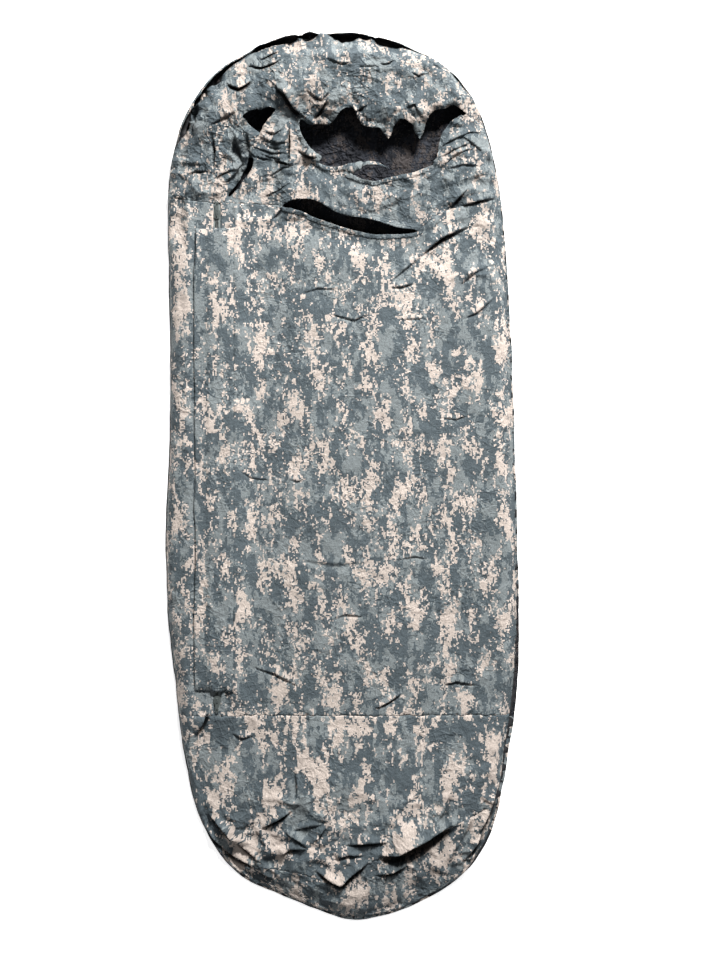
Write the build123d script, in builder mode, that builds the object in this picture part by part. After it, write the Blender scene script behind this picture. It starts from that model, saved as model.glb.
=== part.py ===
from build123d import *
import os

# A mummy-shaped bivy sack lying flat and empty. Millimetres; +X right, +Y towards the head, +Z up,
# with the origin on the ground under the middle of its outline.

# Driving dimensions of the bag
LENGTH = 2210.0
WIDTH = 880.0
FLOOR_T = 1.2
SHELL_T = 1.0
HEM_T = 1.0
TAPE_T = 0.5
SEAM_TAPE_W = 22.0
HEM_W = 14.0
REACH = 460.0  # past the widest point, for cutting

# Half of the floor's outline, from the foot tip to the crown of the head: (half width, y)
HALF_OUTLINE = [
    (0, -LENGTH / 2),
    (150, -1075),
    (265, -1010),
    (335, -925),
    (380, -800),
    (421, -594),
    (WIDTH / 2, -260),
    (433, 185),
    (422, 570),
    (411, 715),
    (385, 860),
    (330, 965),
    (255, 1040),
    (140, 1089),
    (0, LENGTH / 2),
]

# The hood's rear edge lies inside the turned-up rim of the back panel
HEAD_RIM_START = 700.0
HEAD_RIM_RUN = 150.0
HEAD_INSET = 24.0
HEAD_WALL_START = 840.0
HEAD_WALL_RAMP = 70.0
HEAD_WALL_TOP = 44.0

# Section across the bag: a low crown, a level shelf that carries the zipper, and round sides
SHELF_Z = 38.0
SHELF_IN = 262.0
SHELF_OUT = 385.0
CROWN = [(-150, 62), (0, 96), (150, 62)]
SIDE_MID = (424, 28)
SIDE_END = (442, 8)

# Section along the bag: (y, z) of the highest line
PROFILE = [
    (-1115, 12),
    (-1040, 34),
    (-880, 48),
    (-594, 52),
    (0, 52),
    (560, 53),
    (690, 60),
    (820, 84),
    (930, 92),
    (1030, 66),
    (1100, 36),
]
HEADROOM = 130.0

# Seams and openings seen from above
FOOT_SEAM_Y = -594.0
GUSSET_RADIUS = 536.0
GUSSET_CENTRE_Y = -464.0
HOOD_SEAM_Y = 700.0
SLIT_LEFT = (-150, 672)
SLIT_RIGHT = (150, 605)
SLIT_TOP = (4, 656)
SLIT_BOTTOM = (-3, 625)
CHIN_SEAM_RIGHT = (REACH, 702)
FACE_OPENING = [
    (-55, 820),
    (-20, 772),
    (70, 764),
    (150, 742),
    (232, 768),
    (262, 850),
    (240, 902),
    (120, 905),
    (20, 900),
    (-35, 865),
]

# Zipper and storm flap on the left-hand shelf
ZIP_X = -310.0
ZIP_SLOT = 9.0
ZIP_BOTTOM = -573.0
ZIP_TOP = 672.0
ZIP_TAPE_W = 24.0
ZIP_TAPE_T = 0.8
COIL_GAP = 1.3
COIL_W = 3.0
COIL_H = 2.6
COIL_BOTTOM = -568.0
COIL_TOP = 660.0
STOP_LENGTH = 6.0
RUN_GAP = 0.4  # clearance of every sliding or turning face
SLIDER_L = 22.0
SLIDER_W = 15.0
SLIDER_PLATE = 1.8
UPPER_SLIDER_Y = 647.0
LOWER_SLIDER_Y = -555.0
BAIL_L = 12.0
BAIL_W = 2.4
BAIL_H = 4.0
PULL_L = 30.0
PULL_W = 8.0
PULL_T = 1.4

FLAP_X = -280.0
FLAP_BOTTOM = -533.0
FLAP_TOP = 612.0
WELT_W = 6.0
FLAP_Z = 46.4
FLAP_EDGE_Z = 41.4
LINING_T = 0.8
SNAP_X = -352.0
SNAP_COUNT = 6
SNAP_PITCH = 205.0
SNAP_FIRST_Y = -480.0
SNAP_POST_R = 1.5
SNAP_PLACES = [(SNAP_X, SNAP_FIRST_Y + SNAP_PITCH * i) for i in range(SNAP_COUNT)]

INNER_Z = SHELF_Z - SHELL_T
TAPE_Z = INNER_Z - ZIP_TAPE_T
COIL_TOP_Z = INNER_Z + COIL_H
PLATE_Z = COIL_TOP_Z + RUN_GAP
BAIL_Z = PLATE_Z + SLIDER_PLATE
PULL_AXIS_Z = BAIL_Z + PULL_T


def full_outline():
    left = [(-x, y) for x, y in reversed(HALF_OUTLINE[1:-1])]
    return HALF_OUTLINE + left


def moved_inward(loop, inset, head_inset=0.0):
    """A loop that runs anticlockwise, with each point moved along its own inward normal."""
    moved = []
    for i, (x, y) in enumerate(loop):
        before, after = loop[i - 1], loop[(i + 1) % len(loop)]
        tangent = Vector(after[0] - before[0], after[1] - before[1]).normalized()
        share = min(max((y - HEAD_RIM_START) / HEAD_RIM_RUN, 0), 1)
        distance = inset + head_inset * share
        moved.append((x - tangent.Y * distance, y + tangent.X * distance))
    return moved


def prism(loop, low, high, smooth=True):
    """An upright solid on a closed plan outline."""
    with BuildPart() as solid:
        with BuildSketch(Plane.XY.offset(low)):
            with BuildLine():
                if smooth:
                    Spline(*loop, periodic=True)
                else:
                    Polyline(*loop, close=True)
            make_face()
        extrude(amount=high - low)
    return solid.part


def bag(inset):
    """Everything under the top panels' outer face, moved inward by inset. Negative is outward."""
    with BuildPart() as solid:
        add(prism(moved_inward(full_outline(), inset, HEAD_INSET), FLOOR_T, HEADROOM))
        with BuildSketch(Plane.XZ):
            with BuildLine():
                level = SHELF_Z - inset
                crown = [(x, z - inset) for x, z in CROWN]
                Spline((-SHELF_IN, level), *crown, (SHELF_IN, level), tangents=[(1, 0), (1, 0)])
                for side in (-1, 1):
                    Line((side * SHELF_IN, level), (side * SHELF_OUT, level))
                    Spline(
                        (side * SHELF_OUT, level),
                        (side * (SIDE_MID[0] - inset), SIDE_MID[1] - inset),
                        (side * (SIDE_END[0] - inset), SIDE_END[1]),
                        tangents=[(side, 0), (0, -1)],
                    )
                    Line((side * (SIDE_END[0] - inset), SIDE_END[1]), (side * (SIDE_END[0] - inset), 0))
                Line((inset - SIDE_END[0], 0), (SIDE_END[0] - inset, 0))
            make_face()
        extrude(amount=LENGTH, both=True, mode=Mode.INTERSECT)
        with BuildSketch(Plane.YZ):
            with BuildLine():
                top = [(y, z - inset) for y, z in PROFILE]
                Spline(*top)
                Polyline(top[0], (top[0][0], 0), (top[-1][0], 0), top[-1])
            make_face()
        extrude(amount=REACH, both=True, mode=Mode.INTERSECT)
    return solid.part


def lens(grow):
    """The slit between the chin band and the front panel, widened by grow on both sides."""
    run = (Vector(*SLIT_RIGHT) - Vector(*SLIT_LEFT)).normalized()
    across = Vector(-run.Y, run.X)
    left, right = Vector(*SLIT_LEFT) - run * grow, Vector(*SLIT_RIGHT) + run * grow
    with BuildPart() as solid:
        with BuildSketch():
            with BuildLine():
                ThreePointArc(left, Vector(*SLIT_TOP) + across * grow, right)
                ThreePointArc(left, Vector(*SLIT_BOTTOM) - across * grow, right)
            make_face()
        extrude(amount=HEADROOM)
    return solid.part


OUTER = bag(0)
INNER = bag(SHELL_T)
SHELL = OUTER - INNER
HEM_LAYER = bag(-HEM_T) - OUTER
SEAM_LAYER = INNER - bag(SHELL_T + TAPE_T)

FACE = prism(FACE_OPENING, 0, HEADROOM)
FACE_BAND = prism(moved_inward(FACE_OPENING, -HEM_W), 0, HEADROOM) - FACE
SLIT = lens(0)
SLIT_BAND = lens(HEM_W) - SLIT
GAP = prism(
    [(-301, 660), (-268, 700), (-160, 905), (-200, 925), (-300, 715), (-319, 690), (-319, 660)],
    0,
    HEADROOM,
    smooth=False,
)
ZIP_CUT = prism(
    [
        (ZIP_X - ZIP_SLOT, ZIP_BOTTOM),
        (ZIP_X + ZIP_SLOT, ZIP_BOTTOM),
        (ZIP_X + ZIP_SLOT, HOOD_SEAM_Y - 10),
        (ZIP_X - ZIP_SLOT, HOOD_SEAM_Y - 10),
    ],
    0,
    HEADROOM,
    smooth=False,
)
CHIN_START = (ZIP_X + ZIP_SLOT, HOOD_SEAM_Y - 10)
CHIN_SEAM = [CHIN_START, SLIT_LEFT, SLIT_RIGHT, CHIN_SEAM_RIGHT]
CHIN = prism([*CHIN_SEAM, (REACH, 905), (255, 880), (-45, 850), (-165, 908)], 0, HEADROOM, smooth=False)
FRONT = prism(
    [(ZIP_X, FOOT_SEAM_Y), (REACH, FOOT_SEAM_Y), *reversed(CHIN_SEAM), (ZIP_X, HOOD_SEAM_Y - 10)],
    0,
    HEADROOM,
    smooth=False,
)
LEFT = prism(
    [(-REACH, FOOT_SEAM_Y), (ZIP_X, FOOT_SEAM_Y), (ZIP_X, HOOD_SEAM_Y), (-REACH, HOOD_SEAM_Y)],
    0,
    HEADROOM,
    smooth=False,
)
HOOD = prism(
    [(-REACH, HOOD_SEAM_Y), (REACH, HOOD_SEAM_Y), (REACH, LENGTH), (-REACH, LENGTH)],
    0,
    HEADROOM,
    smooth=False,
)
FOOT = prism(
    [(-REACH, -LENGTH), (REACH, -LENGTH), (REACH, FOOT_SEAM_Y), (-REACH, FOOT_SEAM_Y)],
    0,
    HEADROOM,
    smooth=False,
)


def seam_strip(start, end):
    """A seam tape's band in plan, along a straight seam."""
    along = (Vector(*end) - Vector(*start)).normalized()
    half = Vector(-along.Y, along.X) * (SEAM_TAPE_W / 2)
    corners = [Vector(*start) - half, Vector(*end) - half, Vector(*end) + half, Vector(*start) + half]
    return prism([(c.X, c.Y) for c in corners], 0, HEADROOM, smooth=False)


def round_seam(radius):
    with BuildPart() as solid:
        with BuildSketch():
            with Locations((0, GUSSET_CENTRE_Y)):
                Circle(radius)
        extrude(amount=HEADROOM)
    return solid.part


def save(part, name):
    part.label = name
    export_step(part, f"parts/{name}.step")


def panel(name, shape):
    """Keeps a panel's real solids and drops slivers that a seam leaves at a corner."""
    with BuildPart() as piece:
        add([s for s in shape.solids() if s.volume > 1.0])
    save(piece.part, name)


# The floor and the back panel's rim

with BuildPart() as floor_panel:
    add(prism(full_outline(), 0, FLOOR_T))
save(floor_panel.part, "floor_panel")

with BuildPart() as head_wall:
    add(prism(full_outline(), FLOOR_T, HEAD_WALL_TOP))
    add(prism(moved_inward(full_outline(), SHELL_T), FLOOR_T, HEAD_WALL_TOP), mode=Mode.SUBTRACT)
    with BuildSketch(Plane.YZ):
        ramp_end = HEAD_WALL_START + HEAD_WALL_RAMP
        Polygon(
            (HEAD_WALL_START, FLOOR_T),
            (LENGTH, FLOOR_T),
            (LENGTH, HEAD_WALL_TOP),
            (ramp_end, HEAD_WALL_TOP),
            align=None,
        )
    extrude(amount=REACH, both=True, mode=Mode.INTERSECT)
save(head_wall.part, "head_wall")

# Top panels

FOOT_ROUND = round_seam(GUSSET_RADIUS)
panel("foot_panel", SHELL & FOOT & FOOT_ROUND)
panel("foot_gusset", (SHELL & FOOT) - FOOT_ROUND)
panel("front_panel", (SHELL & FRONT) - ZIP_CUT - SLIT)
left_side = (SHELL & LEFT) - ZIP_CUT - GAP
with BuildPart() as left_panel:
    add([s for s in left_side.solids() if s.volume > 1.0])
    with Locations(*[(x, y, SHELF_Z) for x, y in SNAP_PLACES]):
        Cylinder(SNAP_POST_R, 4 * SHELL_T, mode=Mode.SUBTRACT)
save(left_panel.part, "left_panel")
panel("chin_band", (SHELL & CHIN) - GAP - FACE - SLIT)
panel("hood_panel", (SHELL & HOOD) - CHIN - GAP - FACE)

# Hems, folded over the panels' free edges

panel("brow_hem", (HEM_LAYER & FACE_BAND) - CHIN)
panel("chin_hem", (HEM_LAYER & FACE_BAND & CHIN) - GAP)
panel("chin_lower_hem", HEM_LAYER & SLIT_BAND & CHIN)
panel("front_upper_hem", HEM_LAYER & SLIT_BAND & FRONT)

# Seam tapes, welded over the seams inside

panel("foot_seam_tape", SEAM_LAYER & seam_strip((-REACH, FOOT_SEAM_Y), (REACH, FOOT_SEAM_Y)))
gusset_band = round_seam(GUSSET_RADIUS + SEAM_TAPE_W / 2) - round_seam(GUSSET_RADIUS - SEAM_TAPE_W / 2)
panel("gusset_seam_tape", SEAM_LAYER & FOOT & gusset_band)
CHIN_TAPE_LEFT = seam_strip((CHIN_START[0] + 16, CHIN_START[1] - 2), SLIT_LEFT)
CHIN_TAPE_RIGHT = seam_strip(SLIT_RIGHT, CHIN_SEAM_RIGHT)
panel("chin_seam_tape", (SEAM_LAYER & (CHIN_TAPE_LEFT + CHIN_TAPE_RIGHT)) - GAP - SLIT)

PERIMETER_INSET = SHELL_T + 0.5
with BuildPart() as perimeter_seam_tape:
    add(prism(moved_inward(full_outline(), PERIMETER_INSET, HEAD_INSET), FLOOR_T, FLOOR_T + TAPE_T))
    inner_edge = moved_inward(full_outline(), PERIMETER_INSET + SEAM_TAPE_W, HEAD_INSET)
    add(prism(inner_edge, FLOOR_T, FLOOR_T + TAPE_T), mode=Mode.SUBTRACT)
save(perimeter_seam_tape.part, "perimeter_seam_tape")

# Zipper

for side, word in ((-1, "left"), (1, "right")):
    with BuildPart() as zipper_tape:
        with BuildSketch(Plane.XY.offset(TAPE_Z)):
            with Locations((ZIP_X + side * (COIL_GAP + ZIP_TAPE_W) / 2, (ZIP_BOTTOM - 8 + ZIP_TOP) / 2)):
                Rectangle(ZIP_TAPE_W - COIL_GAP, ZIP_TOP - ZIP_BOTTOM + 8)
        extrude(amount=ZIP_TAPE_T)
    save(zipper_tape.part, f"zipper_tape_{word}")

    with BuildPart() as zipper_coil:
        with BuildSketch(Plane.XY.offset(INNER_Z)):
            with Locations((ZIP_X + side * (COIL_GAP + COIL_W / 2), (COIL_BOTTOM + COIL_TOP) / 2)):
                Rectangle(COIL_W, COIL_TOP - COIL_BOTTOM)
        extrude(amount=COIL_H)
        fillet(zipper_coil.faces().sort_by(Axis.Z)[-1].edges().filter_by(Axis.Y), 1.0)
    save(zipper_coil.part, f"zipper_coil_{word}")

with BuildPart() as zipper_top_stops:
    with BuildSketch(Plane.XY.offset(INNER_Z)):
        for side in (-1, 1):
            with Locations((ZIP_X + side * (COIL_GAP + COIL_W / 2), COIL_TOP + STOP_LENGTH / 2)):
                Rectangle(COIL_W, STOP_LENGTH)
    extrude(amount=COIL_H + 0.6)
    fillet(zipper_top_stops.edges().filter_by(Axis.Z), 0.6)
save(zipper_top_stops.part, "zipper_top_stops")

with BuildPart() as zipper_bottom_stop:
    with BuildSketch(Plane.XY.offset(INNER_Z)):
        with Locations((ZIP_X, COIL_BOTTOM - STOP_LENGTH / 2 + 1)):
            Rectangle(2 * (COIL_GAP + COIL_W), STOP_LENGTH - 2)
    extrude(amount=COIL_H + 0.6)
    fillet(zipper_bottom_stop.faces().sort_by(Axis.Z)[-1].edges(), 0.6)
save(zipper_bottom_stop.part, "zipper_bottom_stop")


def make_slider(name, y, head):
    """A slider and its pull. head is 1 or -1, the way along Y that its wedge and its pull point."""
    with BuildPart() as slider:
        with BuildSketch(Plane.XY.offset(PLATE_Z)):
            with Locations((ZIP_X, y)):
                RectangleRounded(SLIDER_W, SLIDER_L, 5)
        extrude(amount=SLIDER_PLATE)
        flange_z = INNER_Z + RUN_GAP
        flange_x = COIL_GAP + COIL_W + 0.7
        with BuildSketch(Plane.XY.offset(flange_z)):
            for side in (-1, 1):
                with Locations((ZIP_X + side * (flange_x + SLIDER_W / 2) / 2, y)):
                    Rectangle(SLIDER_W / 2 - flange_x, SLIDER_L - 10)
        extrude(amount=PLATE_Z - flange_z)
        bottom_z = TAPE_Z - RUN_GAP
        with BuildSketch(Plane.XY.offset(bottom_z)):
            with Locations((ZIP_X, y)):
                RectangleRounded(SLIDER_W - 2, SLIDER_L, 5)
        extrude(amount=-SLIDER_PLATE)
        with BuildSketch(Plane.XY.offset(bottom_z)):
            with Locations((ZIP_X, y + head * 7)):
                Rectangle(2 * (COIL_GAP - RUN_GAP), 7)
        extrude(amount=PLATE_Z - bottom_z)
        with BuildSketch(Plane.YZ.offset(ZIP_X - BAIL_W / 2)):
            with Locations((y, BAIL_Z + BAIL_H / 2)):
                RectangleRounded(BAIL_L, BAIL_H, 1.2)
            with Locations((y, BAIL_Z)):
                Rectangle(BAIL_L, 2.4)
            with Locations((y, PULL_AXIS_Z)):
                RectangleRounded(7, 2.4, 1.0, mode=Mode.SUBTRACT)
        extrude(amount=BAIL_W)
    save(slider.part, name)

    with BuildPart() as pull:
        with BuildSketch(Plane.XY.offset(PULL_AXIS_Z - PULL_T / 2)):
            with Locations((ZIP_X, y + head * (PULL_L - PULL_T / 2) / 2)):
                RectangleRounded(PULL_W, PULL_L + PULL_T / 2, 3)
            with Locations((ZIP_X, y + head * (PULL_T / 2 + 3.9))):
                Rectangle(BAIL_W + 1.2, 7.8, mode=Mode.SUBTRACT)
            with Locations((ZIP_X, y + head * (PULL_L - 6))):
                RectangleRounded(3, 6, 1.4, mode=Mode.SUBTRACT)
        extrude(amount=PULL_T)
    save(pull.part, name + "_pull")


make_slider("upper_slider", UPPER_SLIDER_Y, 1)
make_slider("lower_slider", LOWER_SLIDER_Y, -1)

# Storm flap: a sewn welt, a two-layer flap hinged along it, and snaps hidden between the layers

FLAP_LENGTH = FLAP_TOP - FLAP_BOTTOM
FLAP_BEND = (-326.0, -340.0)
FLAP_END = -364.0
LAYER_Z = FLAP_Z + LINING_T
CAP_Z = FLAP_EDGE_Z + LINING_T
CAP_T = 1.4
COVER_Z = CAP_Z + CAP_T

with BuildPart() as flap_welt:
    with BuildSketch(Plane.XY.offset(SHELF_Z)):
        with Locations((FLAP_X, (FLAP_BOTTOM + FLAP_TOP) / 2)):
            Rectangle(WELT_W, FLAP_LENGTH)
    extrude(amount=FLAP_Z - RUN_GAP - SHELF_Z)
save(flap_welt.part, "flap_welt")

with BuildPart() as storm_flap:
    with BuildSketch(Plane.XZ.offset(-FLAP_BOTTOM)):
        Polygon(
            (FLAP_X, LAYER_Z),
            (FLAP_BEND[0], LAYER_Z),
            (FLAP_BEND[1], COVER_Z),
            (FLAP_END + SHELL_T, COVER_Z),
            (FLAP_END + SHELL_T, FLAP_EDGE_Z),
            (FLAP_END, FLAP_EDGE_Z),
            (FLAP_END, COVER_Z + SHELL_T),
            (FLAP_BEND[1], COVER_Z + SHELL_T),
            (FLAP_BEND[0], LAYER_Z + SHELL_T),
            (FLAP_X, LAYER_Z + SHELL_T),
            align=None,
        )
    extrude(amount=-FLAP_LENGTH)
save(storm_flap.part, "storm_flap")

with BuildPart() as flap_lining:
    with BuildSketch(Plane.XZ.offset(-FLAP_BOTTOM)):
        Polygon(
            (FLAP_X, FLAP_Z),
            (FLAP_BEND[0], FLAP_Z),
            (FLAP_BEND[1], FLAP_EDGE_Z),
            (FLAP_END + SHELL_T, FLAP_EDGE_Z),
            (FLAP_END + SHELL_T, CAP_Z),
            (FLAP_BEND[1], CAP_Z),
            (FLAP_BEND[0], LAYER_Z),
            (FLAP_X, LAYER_Z),
            align=None,
        )
    extrude(amount=-FLAP_LENGTH)
    with Locations(*[(x, y, CAP_Z) for x, y in SNAP_PLACES]):
        Cylinder(SNAP_POST_R, 4 * LINING_T, mode=Mode.SUBTRACT)
save(flap_lining.part, "flap_lining")

CAP_R = 6.5
SOCKET_R = 6.0
SOCKET_BORE_R = 3.2
STUD_BASE_R = 5.5
STUD_R = 2.7
BASE_T = 1.0
STUD_TOP = FLAP_EDGE_Z - 0.7
SOCKET_Z = SHELF_Z + BASE_T + 0.3

with BuildPart() as snap_caps:
    with BuildSketch(Plane.XY.offset(CAP_Z)):
        with Locations(*SNAP_PLACES):
            Circle(CAP_R)
    extrude(amount=CAP_T)
    fillet(snap_caps.faces().sort_by(Axis.Z)[-SNAP_COUNT:].edges(), 0.6)
    with BuildSketch(Plane.XY.offset(CAP_Z)):
        with Locations(*SNAP_PLACES):
            Circle(SNAP_POST_R)
    extrude(amount=-LINING_T)
save(snap_caps.part, "snap_caps")

with BuildPart() as snap_sockets:
    with BuildSketch(Plane.XY.offset(SOCKET_Z)):
        with Locations(*SNAP_PLACES):
            Circle(SOCKET_R)
            Circle(SOCKET_BORE_R, mode=Mode.SUBTRACT)
    extrude(amount=FLAP_EDGE_Z - SOCKET_Z)
save(snap_sockets.part, "snap_sockets")

with BuildPart() as snap_studs:
    with BuildSketch(Plane.XY.offset(SHELF_Z)):
        with Locations(*SNAP_PLACES):
            Circle(STUD_BASE_R)
    extrude(amount=BASE_T)
    with BuildSketch(Plane.XY.offset(SHELF_Z + BASE_T)):
        with Locations(*SNAP_PLACES):
            Circle(STUD_R)
    extrude(amount=STUD_TOP - SHELF_Z - BASE_T)
    fillet(snap_studs.faces().sort_by(Axis.Z)[-SNAP_COUNT:].edges(), 0.7)
    with BuildSketch(Plane.XY.offset(SHELF_Z)):
        with Locations(*SNAP_PLACES):
            Circle(SNAP_POST_R)
    extrude(amount=BASE_T, mode=Mode.SUBTRACT)
save(snap_studs.part, "snap_studs")

with BuildPart() as snap_posts:
    with BuildSketch(Plane.XY.offset(INNER_Z - BASE_T)):
        with Locations(*SNAP_PLACES):
            Circle(STUD_BASE_R - 0.5)
    extrude(amount=BASE_T)
    with BuildSketch(Plane.XY.offset(INNER_Z)):
        with Locations(*SNAP_PLACES):
            Circle(SNAP_POST_R)
    extrude(amount=SHELL_T + BASE_T)
save(snap_posts.part, "snap_posts")
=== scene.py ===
"""A mummy-shaped bivy sack lying empty and flat, seen from straight above, with its head at the top."""

import math

import bpy
import numpy as np
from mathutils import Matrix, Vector
from mathutils.geometry import delaunay_2d_cdt


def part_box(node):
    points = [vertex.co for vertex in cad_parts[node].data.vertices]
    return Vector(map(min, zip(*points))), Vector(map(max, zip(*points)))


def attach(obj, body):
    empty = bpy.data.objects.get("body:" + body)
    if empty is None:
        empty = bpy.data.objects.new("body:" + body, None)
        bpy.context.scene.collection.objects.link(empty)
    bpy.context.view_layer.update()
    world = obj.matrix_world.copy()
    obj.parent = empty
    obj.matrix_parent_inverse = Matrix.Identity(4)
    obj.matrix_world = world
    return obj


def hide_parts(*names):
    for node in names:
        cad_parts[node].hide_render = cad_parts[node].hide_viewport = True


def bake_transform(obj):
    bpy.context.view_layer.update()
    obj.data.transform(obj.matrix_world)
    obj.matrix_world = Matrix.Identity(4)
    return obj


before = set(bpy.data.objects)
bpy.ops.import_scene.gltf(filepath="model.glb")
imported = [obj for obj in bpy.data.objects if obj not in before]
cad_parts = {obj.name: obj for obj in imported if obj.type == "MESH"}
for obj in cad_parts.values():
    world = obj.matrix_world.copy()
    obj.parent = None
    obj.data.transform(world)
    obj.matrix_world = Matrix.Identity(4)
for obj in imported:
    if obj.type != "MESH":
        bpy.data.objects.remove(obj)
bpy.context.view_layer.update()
RANDOM = np.random.default_rng(7)

# Heights and thicknesses, in metres
FABRIC_T = 0.0007
SHELF_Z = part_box("flap_welt")[0].z
CROWN_RISE = 0.013
HOOD_RISE = 0.04
EDGE_R = 0.034
ROLL = math.pi / 2 - 1  # extra cut per metre of edge radius, for the cloth that rolls down the side

# The back panel's outline seen from above, anticlockwise from the foot tip, and how far inside it
# the top panels end there: (x, y, inset)
OUTLINE = [
    (0.02, -1.105, 0.002),
    (0.12, -1.09, 0.002),
    (0.231, -1.042, 0.002),
    (0.308, -0.983, 0.002),
    (0.353, -0.923, 0.002),
    (0.383, -0.85, 0.003),
    (0.4, -0.77, 0.006),
    (0.418, -0.66, 0.011),
    (0.436, -0.52, 0.009),
    (0.44, -0.35, 0.004),
    (0.436, -0.15, 0.002),
    (0.429, 0.1, 0.002),
    (0.42, 0.35, 0.002),
    (0.407, 0.56, 0.002),
    (0.394, 0.69, 0.002),
    (0.378, 0.79, 0.002),
    (0.355, 0.873, 0.003),
    (0.33, 0.933, 0.004),
    (0.29, 0.99, 0.006),
    (0.24, 1.03, 0.005),
    (0.175, 1.062, 0.008),
    (0.1, 1.088, 0.015),
    (0.045, 1.098, 0.012),
    (0.0, 1.098, 0.014),
    (-0.05, 1.102, 0.012),
    (-0.11, 1.096, 0.015),
    (-0.175, 1.08, 0.017),
    (-0.245, 1.05, 0.013),
    (-0.305, 1.013, 0.011),
    (-0.352, 0.963, 0.011),
    (-0.388, 0.905, 0.011),
    (-0.41, 0.845, 0.008),
    (-0.427, 0.77, 0.003),
    (-0.434, 0.68, 0.002),
    (-0.433, 0.5, 0.002),
    (-0.429, 0.3, 0.002),
    (-0.431, 0.1, 0.002),
    (-0.438, -0.08, 0.002),
    (-0.44, -0.22, 0.002),
    (-0.432, -0.38, 0.002),
    (-0.418, -0.5, 0.002),
    (-0.405, -0.62, 0.002),
    (-0.385, -0.74, 0.002),
    (-0.362, -0.83, 0.002),
    (-0.33, -0.905, 0.002),
    (-0.285, -0.967, 0.002),
    (-0.226, -1.013, 0.002),
    (-0.15, -1.045, 0.002),
    (-0.07, -1.078, 0.002),
]

# Places along the head where the hood's edge lies further in, baring the dark inside, or reaches out
# to the rim: (x, y, extra inset, reach)
RIM_GAPS = [
    (-0.392, 0.868, 0.016, 0.026),
    (-0.378, 0.905, 0.026, 0.016),
    (-0.35, 0.95, 0.02, 0.014),
    (-0.318, 0.99, 0.024, 0.022),
    (-0.106, 1.092, -0.026, 0.007),
    (-0.08, 1.095, 0.008, 0.01),
    (-0.05, 1.098, -0.01, 0.014),
    (0.004, 1.096, 0.01, 0.02),
    (0.076, 1.092, -0.022, 0.007),
]

# Openings in the top, seen from above
FACE_OPENING = [
    (-0.104, 0.885), (-0.079, 0.87), (-0.056, 0.868), (-0.034, 0.863), (-0.021, 0.878), (-0.011, 0.895),
    (0.004, 0.903), (0.024, 0.91), (0.034, 0.89), (0.049, 0.868), (0.069, 0.86), (0.091, 0.858),
    (0.106, 0.845), (0.113, 0.831), (0.121, 0.848), (0.128, 0.863), (0.143, 0.878), (0.158, 0.878),
    (0.176, 0.868), (0.183, 0.85), (0.191, 0.831), (0.198, 0.848), (0.203, 0.875), (0.213, 0.895),
    (0.228, 0.905), (0.248, 0.915), (0.273, 0.925), (0.291, 0.918), (0.308, 0.9), (0.288, 0.893),
    (0.266, 0.878), (0.251, 0.853), (0.238, 0.818), (0.231, 0.793), (0.221, 0.771), (0.196, 0.761),
    (0.168, 0.751), (0.138, 0.746), (0.108, 0.738), (0.079, 0.728), (0.049, 0.733), (0.016, 0.748),
    (0.036, 0.758), (0.069, 0.762), (0.116, 0.762), (0.084, 0.771), (0.044, 0.772), (0.014, 0.768),
    (-0.019, 0.763), (-0.041, 0.766), (-0.059, 0.773), (-0.049, 0.788), (-0.061, 0.796), (-0.076, 0.813),
    (-0.089, 0.828), (-0.101, 0.848), (-0.108, 0.868),
]
SLIT = [
    (-0.145, 0.668), (-0.131, 0.677), (-0.111, 0.682), (-0.086, 0.681), (-0.059, 0.675), (-0.039, 0.664),
    (-0.019, 0.653), (0.011, 0.643), (0.044, 0.637), (0.076, 0.63), (0.104, 0.622), (0.133, 0.614),
    (0.158, 0.611), (0.191, 0.61), (0.153, 0.606), (0.118, 0.605), (0.079, 0.604), (0.044, 0.61),
    (0.009, 0.618), (-0.031, 0.631), (-0.071, 0.644), (-0.094, 0.656), (-0.121, 0.663),
]
POCKET = [
    (-0.248, 0.885), (-0.233, 0.895), (-0.213, 0.907), (-0.191, 0.914), (-0.167, 0.907), (-0.178, 0.885),
    (-0.191, 0.865), (-0.201, 0.845), (-0.216, 0.853), (-0.228, 0.863), (-0.236, 0.875),
]
DIAGONAL = [
    (-0.283, 0.693), (-0.271, 0.718), (-0.253, 0.743), (-0.238, 0.766), (-0.231, 0.788), (-0.221, 0.792),
    (-0.221, 0.771), (-0.232, 0.748), (-0.248, 0.723), (-0.268, 0.701),
]

ZIP_X = (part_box("zipper_coil_left")[0].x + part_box("zipper_coil_right")[1].x) / 2
ZIP_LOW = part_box("zipper_bottom_stop")[0].y - 0.001
ZIP_HIGH = 0.675
ZIP_HALF = 0.009
ZIP_SLOT = [
    (ZIP_X - ZIP_HALF, ZIP_LOW),
    (ZIP_X + ZIP_HALF, ZIP_LOW),
    (ZIP_X + ZIP_HALF, ZIP_HIGH),
    (ZIP_X - ZIP_HALF, ZIP_HIGH),
]
FLAP_LOW, FLAP_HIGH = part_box("storm_flap")
WELT_LOW, WELT_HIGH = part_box("flap_welt")

# Seams seen from above
SIDE = 0.55  # past the widest point
FOOT_SEAM_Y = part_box("foot_panel")[1].y
GUSSET_SEAM = [
    (-SIDE, -0.7), (-0.4, -0.835), (-0.343, -0.883), (-0.28, -0.945), (-0.2, -0.975), (-0.106, -0.988),
    (-0.044, -1.008), (-0.004, -1.012), (0.044, -0.972), (0.101, -0.945), (0.15, -0.935), (0.243, -0.88),
    (0.34, -0.84), (0.4, -0.8), (SIDE, -0.69),
]
CHIN_SEAM = [
    (ZIP_X + ZIP_HALF, ZIP_HIGH), (-0.141, 0.67), (0.186, 0.61), (0.25, 0.655), (0.388, 0.693),
    (SIDE, 0.7),
]
HOOD_SEAM_LEFT = [(-SIDE, 0.7), (ZIP_X - ZIP_HALF, ZIP_HIGH)]
BROW_SEAM_LEFT = [(-0.165, 0.908), (-0.15, 0.916), (-0.136, 0.919)]
BROW_SEAM_RIGHT = [(0.312, 0.897), (0.345, 0.88), (SIDE, 0.86)]


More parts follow.
